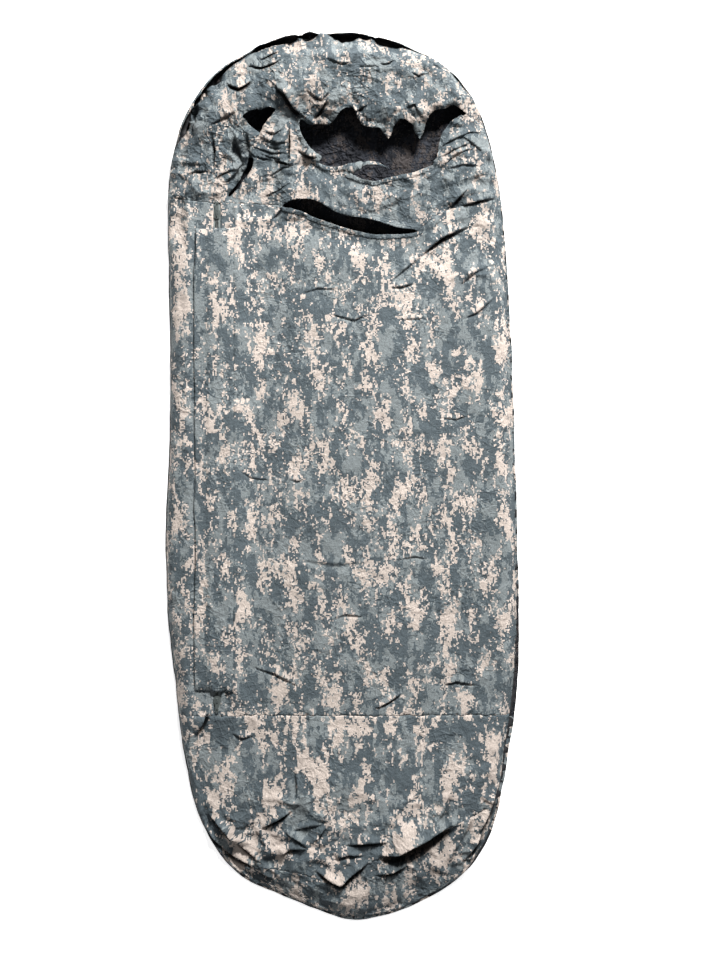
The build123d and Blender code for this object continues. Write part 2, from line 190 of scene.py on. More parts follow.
# ---- Plane geometry -------------------------------------------------------------------------


def smooth(low, high, x):
    t = np.clip((x - low) / (high - low), 0, 1)
    return t * t * (3 - 2 * t)


def between(a, b, c, d, x):
    """Rises from 0 to 1 from a to b, and falls back to 0 from c to d."""
    return smooth(a, b, x) * (1 - smooth(c, d, x))


def closed_curve(points, spacing):
    """A Catmull-Rom curve through a closed loop, as points about spacing apart."""
    pts = np.array(points, float)
    count = len(pts)
    found = []
    for i in range(count):
        p0, p1, p2, p3 = pts[i - 1], pts[i], pts[(i + 1) % count], pts[(i + 2) % count]
        steps = max(1, round(float(np.linalg.norm((p2 - p1)[:2]) / spacing)))
        for t in np.arange(steps) / steps:
            bend = (2 * p0 - 5 * p1 + 4 * p2 - p3) * t + (3 * p1 - p0 - 3 * p2 + p3) * t * t
            found.append(p1 + 0.5 * ((p2 - p0) * t + bend * t))
    return np.array(found)


def run(points, spacing, closed=False):
    """A polyline's points, about spacing apart."""
    pts = [np.array(p, float) for p in points]
    ends = pts[1:] + pts[:1] if closed else pts[1:]
    found = []
    for a, b in zip(pts, ends):
        steps = max(1, math.ceil(float(np.linalg.norm(b - a)) / spacing))
        found += [a + (b - a) * t / steps for t in range(steps)]
    if not closed:
        found.append(pts[-1])
    return np.array(found)


def inward(loop):
    """Unit inward normals of an anticlockwise loop."""
    along = np.roll(loop, -1, axis=0) - np.roll(loop, 1, axis=0)
    normal = np.stack([-along[:, 1], along[:, 0]], axis=1)
    return normal / np.linalg.norm(normal, axis=1)[:, None]


def inside(loop, pts):
    x, y = pts[:, 0], pts[:, 1]
    hit = np.zeros(len(pts), bool)
    for (x0, y0), (x1, y1) in zip(loop, np.roll(loop, -1, axis=0)):
        if y0 != y1:
            hit ^= ((y0 > y) != (y1 > y)) & (x < (x1 - x0) * (y - y0) / (y1 - y0) + x0)
    return hit


def nearest(line, pts, closed=False, reach=9.0):
    """Each point's distance to a line, its nearest point there, and how far along that lies, from 0 to 1.

    Points further away than reach get reach.
    """
    line = np.asarray(line, float)
    ends = np.roll(line, -1, axis=0) if closed else line[1:]
    starts = line if closed else line[:-1]
    best = np.full(len(pts), reach)
    where = np.zeros((len(pts), 2))
    share = np.zeros(len(pts))
    order = np.argsort(pts[:, 1])
    heights = pts[order, 1]
    for i, (a, b) in enumerate(zip(starts, ends)):
        first = np.searchsorted(heights, min(a[1], b[1]) - reach)
        last = np.searchsorted(heights, max(a[1], b[1]) + reach)
        chosen = order[first:last]
        ab = b - a
        spots = pts[chosen]
        t = np.clip(((spots - a) @ ab) / max(float(ab @ ab), 1e-12), 0, 1)
        foot = a + t[:, None] * ab
        d = np.hypot(spots[:, 0] - foot[:, 0], spots[:, 1] - foot[:, 1])
        closer = d < best[chosen]
        hit = chosen[closer]
        best[hit] = d[closer]
        where[hit] = foot[closer]
        share[hit] = (i + t[closer]) / len(ends)
    return best, where, share


# ---- Noise, all seeded ----------------------------------------------------------------------


def random_of(ix, iy, seed):
    h = np.sin(ix * 127.1 + iy * 311.7 + seed * 74.7) * 43758.5453
    return h - np.floor(h)


def value_noise(pts, size, seed):
    """Smooth noise from -1 to 1, with lumps about size across."""
    p = pts / size
    i = np.floor(p)
    f = p - i
    f = f * f * (3 - 2 * f)
    corner = [random_of(i[:, 0] + a, i[:, 1] + b, seed) for b in (0, 1) for a in (0, 1)]
    low = corner[0] * (1 - f[:, 0]) + corner[1] * f[:, 0]
    high = corner[2] * (1 - f[:, 0]) + corner[3] * f[:, 0]
    return 2 * (low * (1 - f[:, 1]) + high * f[:, 1]) - 1


def crease_noise(pts, size, seed):
    """Facets about size across that meet in sharp creases, from 0 on a crease to about 0.5."""
    p = pts / size
    base = np.floor(p)
    first = np.full(len(pts), 1e9)
    second = np.full(len(pts), 1e9)
    for a in (-1, 0, 1):
        for b in (-1, 0, 1):
            cell = base + (a, b)
            spot = cell + np.stack(
                [random_of(cell[:, 0], cell[:, 1], seed), random_of(cell[:, 0], cell[:, 1], seed + 1)], axis=1
            )
            d = np.linalg.norm(p - spot, axis=1)
            second = np.minimum(second, np.maximum(first, d))
            first = np.minimum(first, d)
    return np.minimum(second - first, 0.5)


def ridge_noise(pts, size, seed, turn=0.0):
    """Rounded hollows about size across between sharp, wandering ridges; from -0.5 to 0.5."""
    c, s = math.cos(turn), math.sin(turn)
    spun = np.column_stack([pts[:, 0] * c - pts[:, 1] * s, pts[:, 0] * s + pts[:, 1] * c])
    coarse, fine = value_noise(spun, size, seed), value_noise(spun[:, ::-1], size * 0.53, seed + 5)
    return 0.5 - np.abs(0.7 * coarse + 0.45 * fine)


# ---- The top's cut, as one triangle mesh ----------------------------------------------------

outline = closed_curve(OUTLINE, 0.0085)
ripple = 0.0015 * value_noise(outline[:, :2] + 3.1, 0.055, 81)
ripple = ripple + 0.0009 * value_noise(outline[:, :2], 0.021, 82)
outline[:, :2] += inward(outline[:, :2]) * ripple[:, None]
for gap_x, gap_y, gap, reach in RIM_GAPS:
    outline[:, 2] += gap * np.exp(-(((outline[:, 0] - gap_x) ** 2 + (outline[:, 1] - gap_y) ** 2) / reach**2))
outline[:, 2] = np.maximum(outline[:, 2], 0.0012)
floor_edge = outline[:, :2]
plan_edge = floor_edge + inward(floor_edge) * outline[:, 2:3]
cut_edge = plan_edge - inward(plan_edge) * (ROLL * EDGE_R)
face_edge = run(FACE_OPENING, 0.006, closed=True)
slit_edge = closed_curve(SLIT, 0.006)
pocket_edge = closed_curve(POCKET, 0.006)
diagonal_edge = closed_curve(DIAGONAL, 0.006)
OPENINGS = (face_edge, slit_edge, pocket_edge, diagonal_edge)
gusset_line = run(GUSSET_SEAM, 0.01)

# Folds seen in the lying cloth: (depth, width, points)
FOLDS = [
    # right of the chin and along the right side
    (0.011, 0.009, [(0.198, 0.546), (0.228, 0.581), (0.253, 0.599), (0.313, 0.616)]),
    (0.007, 0.007, [(0.213, 0.559), (0.246, 0.589), (0.288, 0.604)]),
    (0.01, 0.008, [(0.265, 0.664), (0.288, 0.69), (0.309, 0.708)]),
    (0.009, 0.007, [(0.295, 0.668), (0.343, 0.683), (0.382, 0.689)]),
    (0.005, 0.008, [(0.198, 0.546), (0.143, 0.501), (0.12, 0.478)]),
    (0.006, 0.006, [(0.12, 0.466), (0.143, 0.469), (0.178, 0.477)]),
    (0.003, 0.005, [(0.143, 0.388), (0.203, 0.39)]),
    (0.006, 0.005, [(0.236, 0.808), (0.273, 0.833), (0.318, 0.855)]),
    (0.005, 0.004, [(0.238, 0.786), (0.278, 0.808), (0.328, 0.825)]),
    (0.006, 0.005, [(0.262, 0.86), (0.275, 0.88), (0.29, 0.893)]),
    (0.005, 0.004, [(0.246, 0.765), (0.283, 0.797), (0.33, 0.812)]),
    (0.005, 0.005, [(0.261, 0.76), (0.298, 0.77), (0.345, 0.766)]),
    (0.005, 0.004, [(0.29, 0.838), (0.315, 0.85), (0.35, 0.852)]),
    (0.006, 0.005, [(0.262, 0.826), (0.3, 0.838), (0.352, 0.8)]),
    # left side
    (0.01, 0.006, [(-0.366, 0.624), (-0.3645, 0.574), (-0.36, 0.515)]),
    (0.007, 0.006, [(-0.32, 0.733), (-0.296, 0.748), (-0.256, 0.763)]),
    (0.008, 0.007, [(-0.318, 0.758), (-0.311, 0.8), (-0.32, 0.842)]),
    (0.007, 0.006, [(-0.296, 0.72), (-0.265, 0.748), (-0.24, 0.785)]),
    (0.008, 0.006, [(-0.4, 0.84), (-0.39, 0.87), (-0.38, 0.89)]),
    (0.008, 0.01, [(-0.236, 0.848), (-0.228, 0.815), (-0.227, 0.785)]),
    (0.0085, 0.011, [(-0.27, 0.845), (-0.254, 0.805), (-0.245, 0.77)]),
    (0.0075, 0.007, [(-0.262, 0.895), (-0.29, 0.885), (-0.325, 0.862)]),
    (0.006, 0.005, [(-0.382, 0.744), (-0.364, 0.756), (-0.33, 0.752)]),
    # pleats between the zipper's end and the face opening
    (0.005, 0.004, [(-0.204, 0.852), (-0.165, 0.846), (-0.138, 0.862)]),
    (0.006, 0.004, [(-0.207, 0.838), (-0.16, 0.822), (-0.128, 0.824)]),
    (0.004, 0.003, [(-0.2, 0.828), (-0.176, 0.812), (-0.135, 0.806)]),
    (0.006, 0.004, [(-0.222, 0.814), (-0.17, 0.799), (-0.134, 0.797)]),
    (0.005, 0.004, [(-0.208, 0.8), (-0.17, 0.788), (-0.132, 0.786)]),
    (0.01, 0.006, [(-0.13, 0.87), (-0.126, 0.82), (-0.131, 0.764)]),
    (0.01, 0.007, [(-0.168, 0.784), (-0.146, 0.776), (-0.12, 0.768)]),
    (0.006, 0.005, [(-0.185, 0.738), (-0.146, 0.763), (-0.118, 0.764)]),
    (0.01, 0.006, [(-0.11, 0.806), (-0.08, 0.79), (-0.06, 0.786)]),
    (0.008, 0.007, [(-0.143, 0.673), (-0.156, 0.656), (-0.172, 0.636)]),
    (0.006, 0.006, [(-0.19, 0.692), (-0.16, 0.706), (-0.125, 0.727)]),
    (0.006, 0.005, [(-0.235, 0.806), (-0.215, 0.79), (-0.17, 0.782)]),
    # the brow's folds, from the top of the pocket down into the face opening
    (0.016, 0.01, [(-0.165, 0.956), (-0.14, 0.938), (-0.118, 0.906), (-0.086, 0.88)]),
    (0.012, 0.008, [(-0.036, 0.925), (-0.055, 0.9), (-0.072, 0.88)]),
    (0.008, 0.006, [(-0.09, 0.948), (-0.068, 0.932), (-0.05, 0.922), (-0.04, 0.934), (-0.028, 0.948)]),
    (0.009, 0.006, [(0.026, 0.892), (0.04, 0.904), (0.066, 0.914)]),
    (0.009, 0.006, [(0.16, 0.905), (0.178, 0.915), (0.19, 0.89)]),
    # hood
    (0.009, 0.006, [(-0.204, 1.026), (-0.176, 1.041), (-0.15, 1.049)]),
    (0.011, 0.006, [(-0.232, 1.014), (-0.201, 1.009), (-0.155, 1.021)]),
    (0.018, 0.01, [(-0.285, 0.968), (-0.256, 0.957), (-0.241, 0.964), (-0.222, 0.976)]),
    (0.005, 0.006, [(-0.041, 1.024), (-0.001, 1.011), (0.02, 1.012)]),
    (0.004, 0.005, [(0.036, 1.003), (0.059, 1.004), (0.089, 1.006)]),
    (0.007, 0.005, [(0.091, 1.008), (0.112, 1.013), (0.128, 1.021)]),
    (0.006, 0.005, [(0.17, 0.99), (0.186, 0.984), (0.205, 0.99)]),
    (0.005, 0.005, [(0.206, 1.024), (0.243, 1.006), (0.265, 0.999)]),
    # body
    (0.003, 0.005, [(-0.106, 0.449), (-0.061, 0.464), (-0.006, 0.461)]),
    (0.006, 0.006, [(-0.221, -0.474), (-0.168, -0.489), (-0.113, -0.519)]),
    (0.008, 0.006, [(0.081, -0.576), (0.113, -0.559), (0.148, -0.539)]),
    (0.004, 0.006, [(-0.03, 0.4), (0.03, 0.385), (0.075, 0.405)]),
    (0.005, 0.007, [(0.29, 0.47), (0.32, 0.5), (0.365, 0.52)]),
    (0.005, 0.007, [(0.3, 0.39), (0.335, 0.405), (0.375, 0.44)]),
    (0.007, 0.006, [(0.253, -0.519), (0.283, -0.509), (0.333, -0.519)]),
    (0.003, 0.005, [(0.243, 0.145), (0.281, 0.14), (0.318, 0.152)]),
    (0.003, 0.005, [(-0.256, 0.015), (-0.226, -0.005), (-0.181, -0.01)]),
    (0.003, 0.006, [(0.131, -0.209), (0.181, -0.2), (0.218, -0.209)]),
    (0.003, 0.006, [(-0.031, -0.359), (0.006, -0.344), (0.056, -0.349)]),
    (0.003, 0.012, [(-0.101, -0.21), (-0.02, -0.222), (0.061, -0.216)]),
    (0.003, 0.006, [(-0.131, -0.008), (-0.112, -0.014), (-0.096, -0.01)]),
    # foot
    (0.011, 0.009, [(-0.3, -0.925), (-0.262, -0.95), (-0.215, -0.975)]),
    (0.01, 0.008, [(-0.345, -0.87), (-0.318, -0.905), (-0.285, -0.935)]),
    (0.01, 0.008, [(-0.16, -0.945), (-0.13, -0.925), (-0.095, -0.925)]),
    (0.009, 0.007, [(-0.02, -0.95), (0.015, -0.938), (0.05, -0.942)]),
    (0.009, 0.007, [(-0.14, -0.885), (-0.105, -0.905), (-0.085, -0.925)]),
    (0.009, 0.008, [(0.3, -0.96), (0.335, -0.915), (0.355, -0.87)]),
    (0.014, 0.009, [(-0.363, -0.641), (-0.348, -0.614), (-0.328, -0.572)]),
    (0.015, 0.008, [(-0.313, -0.855), (-0.261, -0.903), (-0.205, -0.96)]),
    (0.01, 0.007, [(-0.335, -0.838), (-0.303, -0.87), (-0.261, -0.915)]),
    (0.014, 0.009, [(-0.203, -0.876), (-0.168, -0.853), (-0.128, -0.832)]),
    (0.008, 0.006, [(-0.118, -0.877), (-0.086, -0.868), (-0.052, -0.864)]),
    (0.008, 0.006, [(-0.206, -0.985), (-0.19, -0.993), (-0.172, -1.003)]),
    (0.017, 0.01, [(-0.066, -0.98), (-0.026, -1.006), (-0.004, -1.014), (0.025, -0.986), (0.064, -0.96)]),
    (0.007, 0.006, [(-0.07, -0.912), (-0.055, -0.89), (-0.04, -0.868)]),
    (0.032, 0.026, [(0.094, -0.946), (0.138, -0.938), (0.173, -0.917), (0.218, -0.896), (0.268, -0.872)]),
    (0.012, 0.009, [(0.084, -0.99), (0.123, -0.983), (0.158, -0.968)]),
    (0.012, 0.009, [(0.01, -0.915), (0.059, -0.908), (0.108, -0.908)]),
    (0.006, 0.01, [(0.223, -0.873), (0.253, -0.838), (0.268, -0.783)]),
    (0.009, 0.008, [(0.33, -0.905), (0.363, -0.845), (0.388, -0.775)]),
    (0.008, 0.01, [(0.205, -1.048), (0.281, -1.008), (0.336, -0.955)]),
    (0.006, 0.008, [(-0.115, -0.8), (-0.113, -0.765), (-0.117, -0.735)]),
    (0.006, 0.007, [(-0.27, -0.64), (-0.25, -0.65), (-0.222, -0.645)]),
]


# Spacing of the cut's points, in metres: the whole grid's, then what is kept of it on each stretch
GRID, BODY_GRID, HEAD_GRID, FOOT_GRID, FOLD_GRID = 0.0065, 0.0132, 0.0072, 0.0088, 0.0058
HEAD_FROM_Y, FOOT_FROM_Y = 0.56, -0.78


def staggered(edge, step):
    """Points inside a loop, in rows about step apart."""
    low, high = edge.min(0), edge.max(0)
    xs, ys = np.meshgrid(np.arange(low[0], high[0], step), np.arange(low[1], high[1], step * 0.866))
    xs[1::2] += step / 2
    grid = np.stack([xs.ravel(), ys.ravel()], axis=1)
    return grid[inside(edge, grid)]


def triangulated(points, edges, kind):
    """The Delaunay triangulation that keeps the edges: its points and its triangles."""
    flat, _, faces, *_ = delaunay_2d_cdt([Vector(p) for p in points], edges, [], kind, 1e-6)
    return np.array([tuple(p) for p in flat]), np.array([f for f in faces if len(f) == 3])


def make_cut():
    """The whole top laid flat: points, triangles and each triangle's panel."""
    loops = [
        (cut_edge, True), *((edge, True) for edge in OPENINGS),
        (run(ZIP_SLOT, 0.009, closed=True), True),
        (run([(-SIDE, FOOT_SEAM_Y), (SIDE, FOOT_SEAM_Y)], 0.012), False),
        (gusset_line, False), (run(CHIN_SEAM, 0.009), False), (run(HOOD_SEAM_LEFT, 0.009), False),
        (run(BROW_SEAM_LEFT, 0.009), False), (run(BROW_SEAM_RIGHT, 0.009), False),
        (run([(ZIP_X, FOOT_SEAM_Y), (ZIP_X, ZIP_LOW)], 0.009), False),
    ]
    points, edges = [], []
    for line, closed in loops:
        first = len(points)
        points += [tuple(p) for p in line]
        edges += [(i, i + 1) for i in range(first, len(points) - 1)]
        if closed:
            edges.append((len(points) - 1, first))
    grid = staggered(cut_edge, GRID)
    size = np.full(len(grid), BODY_GRID)
    size[grid[:, 1] > HEAD_FROM_Y] = HEAD_GRID
    size[grid[:, 1] < FOOT_FROM_Y] = FOOT_GRID
    for _, width, line in FOLDS:
        size[nearest(line, grid, reach=0.08)[0] < 2.2 * width] = FOLD_GRID
    keep = RANDOM.random(len(grid)) < (GRID / size) ** 2
    grid = grid[keep] + RANDOM.normal(0, GRID * 0.12, (keep.sum(), 2))
    clear = np.full(len(grid), 1e9)
    for line, closed in loops:
        clear = np.minimum(clear, nearest(line, grid, closed, 0.02)[0])
    grid = relaxed(grid[clear > 0.0045], 0.0075)
    points += [tuple(p) for p in grid]
    flat, faces = triangulated(points, edges, 0)
    middle = flat[faces].mean(axis=1)
    kept = inside(cut_edge, middle)
    for hole in (*OPENINGS, np.array(ZIP_SLOT)):
        kept &= ~inside(hole, middle)
    faces, middle = faces[kept], middle[kept]
    return flat, faces, panels_of(middle)


def relaxed(pts, reach):
    """Drops points that lie closer than about half of reach to one that was kept before them."""
    seen, kept = {}, []
    for x, y in pts:
        key = (int(x / reach), int(y / reach))
        near = [q for a in (-1, 0, 1) for b in (-1, 0, 1) for q in seen.get((key[0] + a, key[1] + b), ())]
        if all((x - q[0]) ** 2 + (y - q[1]) ** 2 > (reach * 0.62) ** 2 for q in near):
            seen.setdefault(key, []).append((x, y))
            kept.append((x, y))
    return np.array(kept)


PANELS = ["hood_panel", "chin_band", "front_panel", "left_panel", "foot_panel", "foot_gusset"]


def panels_of(pts):
    """The index in PANELS of the panel that each point of the cut belongs to."""
    x, y = pts[:, 0], pts[:, 1]
    chin_area = np.array(
        CHIN_SEAM + [(SIDE, 0.86)] + BROW_SEAM_RIGHT[-2::-1] + [(0.1, 0.82)] + BROW_SEAM_LEFT[::-1]
        + [(-0.195, 0.86), (-0.235, 0.76), (-0.275, 0.7)]
    )
    front_area = np.array(
        [(ZIP_X, FOOT_SEAM_Y), (SIDE, FOOT_SEAM_Y)] + CHIN_SEAM[::-1] + [(ZIP_X, ZIP_HIGH)]
    )
    found = np.zeros(len(pts), int)
    found[(x < ZIP_X) & (y < np.interp(x, [-SIDE, ZIP_X - ZIP_HALF], [0.7, ZIP_HIGH]))] = 3
    found[inside(front_area, pts)] = 2
    found[inside(chin_area, pts)] = 1
    found[y < FOOT_SEAM_Y] = 4
    found[(y < FOOT_SEAM_Y) & (y < np.interp(x, *np.array(GUSSET_SEAM).T))] = 5
    return found


# ---- The lying shape ------------------------------------------------------------------------


def bump(pts, x, y, rx, ry, turn=0.0):
    """1 at (x, y), fading to 0 over about rx by ry metres."""
    c, s = math.cos(turn), math.sin(turn)
    a = (pts[:, 0] - x) * c + (pts[:, 1] - y) * s
    b = (pts[:, 1] - y) * c - (pts[:, 0] - x) * s
    return np.exp(-((a / rx) ** 2) - (b / ry) ** 2)


# The face opening's upper edge, which the hood rises behind
BROW = [
    (-0.16, 0.9), (-0.035, 0.862), (0.02, 0.895), (0.115, 0.845), (0.19, 0.85), (0.27, 0.905), (0.34, 0.88),
]

# Mounds and hollows round the head: (rise, x, y, reach in x, reach in y, turn)
MOUNDS = [
    (0.022, -0.2, 0.955, 0.12, 0.045),
    (0.012, 0.08, 0.69, 0.24, 0.038, -0.1),
    (0.02, -0.15, 0.85, 0.035, 0.06),
    (0.016, 0.3, 0.8, 0.06, 0.09),
    (0.016, 0.07, 0.765, 0.055, 0.008),
    (-0.016, -0.262, 0.8, 0.03, 0.045, -0.45),
    (-0.022, -0.255, 0.74, 0.02, 0.055, -0.6),
    (-0.012, 0.02, 0.6, 0.16, 0.03, -0.2),
    (-0.014, -0.1, 0.79, 0.025, 0.03),
]


def height(pts):
    """The top's height above the ground before the cloth slackens."""
    x, y = pts[:, 0], pts[:, 1]
    z = SHELF_Z + CROWN_RISE * (1 - smooth(0.05, 0.25, np.abs(x)))
    z *= 1 - 0.3 * smooth(-0.78, -1.06, y)
    brow = np.interp(x, *np.array(BROW).T)
    across = np.exp(-np.abs((x - 0.07) / 0.27) ** 3)
    z += HOOD_RISE * across * smooth(1.085, 1.035, y) * smooth(brow - 0.01, brow + 0.062, y)
    for rise, *place in MOUNDS:
        z += rise * bump(pts, *place)
    left = between(-0.415, -0.355, -0.235, -0.2, x)
    z += 0.032 * left * smooth(0.69, 0.885, y + 0.3 * (x + 0.3)) * (1 - smooth(0.895, 0.965, y))
    flap_run = between(FLAP_LOW.y - 0.05, FLAP_LOW.y + 0.02, FLAP_HIGH.y - 0.02, FLAP_HIGH.y + 0.05, y)
    near_welt = between(-0.215, -0.262, -0.2765, -0.2785, x)
    beside = between(-0.41, -0.38, -0.372, -0.3675, x)
    beside *= 1 - 0.9 * bump(pts, -0.365, 0.56, 0.03, 0.06)
    z = np.where(near_welt * flap_run > 0, z + (WELT_HIGH.z + 0.0006 - z) * near_welt * flap_run, z)
    z = z + 0.004 * beside * flap_run
    under = between(-0.369, -0.366, -0.283, -0.2785, x) * between(ZIP_LOW - 0.03, ZIP_LOW, 0.67, 0.7, y)
    return z + (SHELF_Z - z) * under


def lie(flat):
    """Where each point of the cut lies: rolled down to the ground round the edge."""
    d, foot, share = nearest(cut_edge, flat, True, 0.12)
    normals = inward(cut_edge)[np.round(share * len(cut_edge)).astype(int) % len(cut_edge)]
    direction = np.where(d[:, None] > 1e-4, (flat - foot) / np.maximum(d, 1e-4)[:, None], normals)
    rolled = np.minimum(d / EDGE_R, math.pi / 2)
    plan = foot + direction * (ROLL * EDGE_R + EDGE_R * (1 - np.cos(rolled)))[:, None]
    plan = np.where((d < EDGE_R * math.pi / 2)[:, None], plan, flat)
    z = height(plan) * (1 - 0.45 * smooth(-0.62, -0.85, plan[:, 1]) * (1 - smooth(0.0, 0.11, d)))
    for line, drop in zip(OPENINGS, (0.006, 0.006, 0.007, 0.005)):
        z -= drop * (1 - smooth(0.0, 0.013, nearest(line, flat, True, 0.03)[0])) ** 2
    return np.column_stack([plan, z * np.sin(rolled) + FABRIC_T])


# ---- Cloth ----------------------------------------------------------------------------------


def mesh_object(name, verts, faces):
    mesh = bpy.data.meshes.new(name)
    mesh.from_pydata([tuple(v) for v in verts], [], [tuple(int(i) for i in f) for f in faces])
    obj = bpy.data.objects.new(name, mesh)
    bpy.context.scene.collection.objects.link(obj)
    return obj


def coords(mesh):
    co = np.empty(len(mesh.vertices) * 3)
    mesh.vertices.foreach_get("co", co)
    return co.reshape(-1, 3)


def weigh(obj, name, weight, levels, least=0):
    """A vertex group holding each point's weight, in even levels from least to levels."""
    group = obj.vertex_groups.new(name=name)
    nearest_level = np.round(np.clip(weight, 0, 1) * levels)
    for level in range(least, levels + 1):
        members = np.nonzero(nearest_level == level)[0].tolist()
        if members:
            group.add(members, level / levels, "REPLACE")


def slacken(obj, flat, frames):
    """Lets the slack cloth buckle and settle, with its edges, hems and zipper held."""
    held = 1 - smooth(0.0, 0.012, nearest(cut_edge, flat, True, 0.03)[0])
    x, y = flat[:, 0], flat[:, 1]
    zip_zone = between(-0.385, -0.372, -0.272, -0.255, x)
    zip_zone *= between(ZIP_LOW - 0.06, ZIP_LOW - 0.01, 0.69, 0.72, y)
    hems = np.zeros(len(flat))
    for line in OPENINGS:
        hems = np.maximum(hems, 0.35 * (1 - smooth(0.0, 0.01, nearest(line, flat, True, 0.03)[0])))
    weight = np.maximum.reduce([held, zip_zone, hems, np.full(len(flat), 0.02)])
    weigh(obj, "held", weight, 50, 1)
    loose = 0.35 + 0.65 * smooth(0.52, 0.7, y) + 0.35 * smooth(-0.8, -0.95, y)
    weigh(obj, "slack", loose * (1 - zip_zone), 10)
    cloth = obj.modifiers.new("cloth", "CLOTH")
    s = cloth.settings
    s.quality = 6
    s.mass = 0.15
    s.tension_stiffness = s.compression_stiffness = 25
    s.shear_stiffness = 12
    s.bending_stiffness = 0.6
    s.tension_damping = s.compression_damping = s.shear_damping = 8
    s.air_damping = 3
    s.vertex_group_mass = "held"
    s.pin_stiffness = 3
    s.vertex_group_shrink = "slack"
    s.shrink_min = 0.0
    s.shrink_max = -0.035
    cloth.collision_settings.use_collision = False
    cloth.collision_settings.use_self_collision = False
    s.effector_weights.gravity = 0.3
    scene = bpy.context.scene
    scene.frame_start, scene.frame_end = 1, frames
    cloth.point_cache.frame_start, cloth.point_cache.frame_end = 1, frames
    for f in range(1, frames + 1):
        scene.frame_set(f)
    shape = obj.evaluated_get(bpy.context.evaluated_depsgraph_get()).to_mesh()
    settled = coords(shape).copy()
    obj.modifiers.clear()
    scene.frame_set(1)
    return settled


def refined(verts, faces, flat, panel):
    """The cloth with every face split once and rounded, with its cut coordinates and panels carried along."""
    obj = mesh_object("cloth_work", verts, faces)
    cut = obj.data.attributes.new("cut", "FLOAT_VECTOR", "POINT")
    cut.data.foreach_set("vector", np.column_stack([flat, np.zeros(len(flat))]).ravel())
    index = obj.data.attributes.new("panel", "INT", "FACE")
    index.data.foreach_set("value", np.asarray(panel).astype(np.int32))
    obj.modifiers.new("split", "SUBSURF").levels = 1
    shape = obj.evaluated_get(bpy.context.evaluated_depsgraph_get()).to_mesh()
    cut = np.empty(len(shape.vertices) * 3)
    shape.attributes["cut"].data.foreach_get("vector", cut)
    index = np.empty(len(shape.polygons), np.int32)
    shape.attributes["panel"].data.foreach_get("value", index)
    quads = np.empty(len(shape.loops), np.int32)
    shape.loops.foreach_get("vertex_index", quads)
    co, normals = coords(shape), vertex_normals(shape)
    bpy.data.objects.remove(obj)
    return co, quads.reshape(-1, 4), cut.reshape(-1, 3)[:, :2], index, normals


def vertex_normals(mesh):
    normals = np.empty(len(mesh.vertices) * 3)
    mesh.vertex_normals.foreach_get("vector", normals)
    return normals.reshape(-1, 3)


# Small creases at random: (count, low corner, high corner, length, width, depth, lean of the crease, spread)
CREASES = [
    (120, (-0.42, 0.62), (0.4, 1.07), (0.035, 0.13), (0.005, 0.017), (0.0012, 0.006), 0.15, 0.75),
    (90, (-0.42, 0.62), (-0.12, 0.93), (0.025, 0.08), (0.004, 0.011), (0.0015, 0.005), 0.65, 0.9),
    (80, (0.2, 0.48), (0.4, 0.92), (0.025, 0.09), (0.004, 0.011), (0.0015, 0.005), 0.65, 0.4),
    (60, (-0.15, 0.62), (0.3, 0.75), (0.03, 0.1), (0.005, 0.014), (0.001, 0.0035), 0.0, 0.35),
    (130, (-0.4, -1.08), (0.42, -0.8), (0.025, 0.09), (0.004, 0.014), (0.0015, 0.007), 0.1, 0.7),
    (60, (-0.37, -1.03), (-0.12, -0.84), (0.03, 0.09), (0.004, 0.011), (0.002, 0.0075), -0.75, 0.35),
    (34, (0.24, -1.02), (0.39, -0.7), (0.03, 0.09), (0.004, 0.011), (0.002, 0.007), 1.0, 0.35),
    (80, (-0.4, -0.8), (0.42, -0.45), (0.025, 0.09), (0.004, 0.012), (0.0008, 0.003), 0.1, 0.6),
    (200, (-0.26, -0.5), (0.42, 0.6), (0.025, 0.12), (0.004, 0.014), (0.0005, 0.0022), 0.05, 0.5),
]
CREASE = ((-0.45, 0.0, 0.1, 2.4), (0.0, 0.85, 0.85, 0.0))
DEEP_FOLD = ((-1.3, -0.25, 0.7, 2.4), (0.0, -0.95, 0.8, 0.0))


def random_creases():
    """Short, nearly straight strokes like those in FOLDS, with the side that each one rises on."""
    found = []
    for count, low, high, lengths, widths, depths, lean, spread in CREASES:
        for _ in range(count):
            middle = RANDOM.uniform(low, high)
            length, width = RANDOM.uniform(*lengths), RANDOM.uniform(*widths)
            depth = depths[0] + (depths[1] - depths[0]) * RANDOM.random() ** 1.8
            turn = RANDOM.normal(lean, spread)
            ahead = np.array([math.cos(turn), math.sin(turn)]) * length / 2
            bend = np.array([-ahead[1], ahead[0]]) * RANDOM.normal(0, 0.1)
            line = [middle - ahead, middle + bend, middle + ahead]
            found.append((depth, width, line, RANDOM.random() < 0.65))
    return found


def fold(co, inner, free, depth, width, line, profile, lit=True, over=0.0):
    """Folds the cloth along a line: it rises gently on the lit side and drops sharply on the other.

    inner gets how deep inside a fold each point is, from 0 to 1; the print is darkened by it there as painted
    shade.
    """
    line = run(line, 0.014)
    low, high = line.min(0) - 3 * width, line.max(0) + 3 * width
    near = np.nonzero(np.all((co[:, :2] > low) & (co[:, :2] < high), axis=1))[0]
    if not len(near):
        return
    ahead = line[-1] - line[0]
    side = np.array([-ahead[1], ahead[0]]) / np.linalg.norm(ahead)
    side *= 1 if (side @ (0.05, 1.0) > 0) == lit else -1
    d, spot, share = nearest(line, co[near, :2])
    taper = np.sin(np.pi * np.clip(share * 0.96 + 0.02, 0, 1)) ** 0.75
    s = d * np.sign((co[near, :2] - spot) @ side) / (width * (0.35 + 0.65 * taper))
    lift = depth * taper * free[near]
    depth_share = np.minimum(lift / 0.01, 1.0) ** 1.7
    # painted shade: mark the fold's valley, where the print will be darkened
    inner[near] = np.maximum(inner[near], np.exp(-(((s + 0.55) / 0.85) ** 2)) * depth_share)
    co[near, 2] += lift * np.interp(s, *profile)
    co[near, :2] -= (over * lift * np.interp(s, [-0.1, 0.75, 2.2], [0.0, 1.0, 0.0]))[:, None] * side


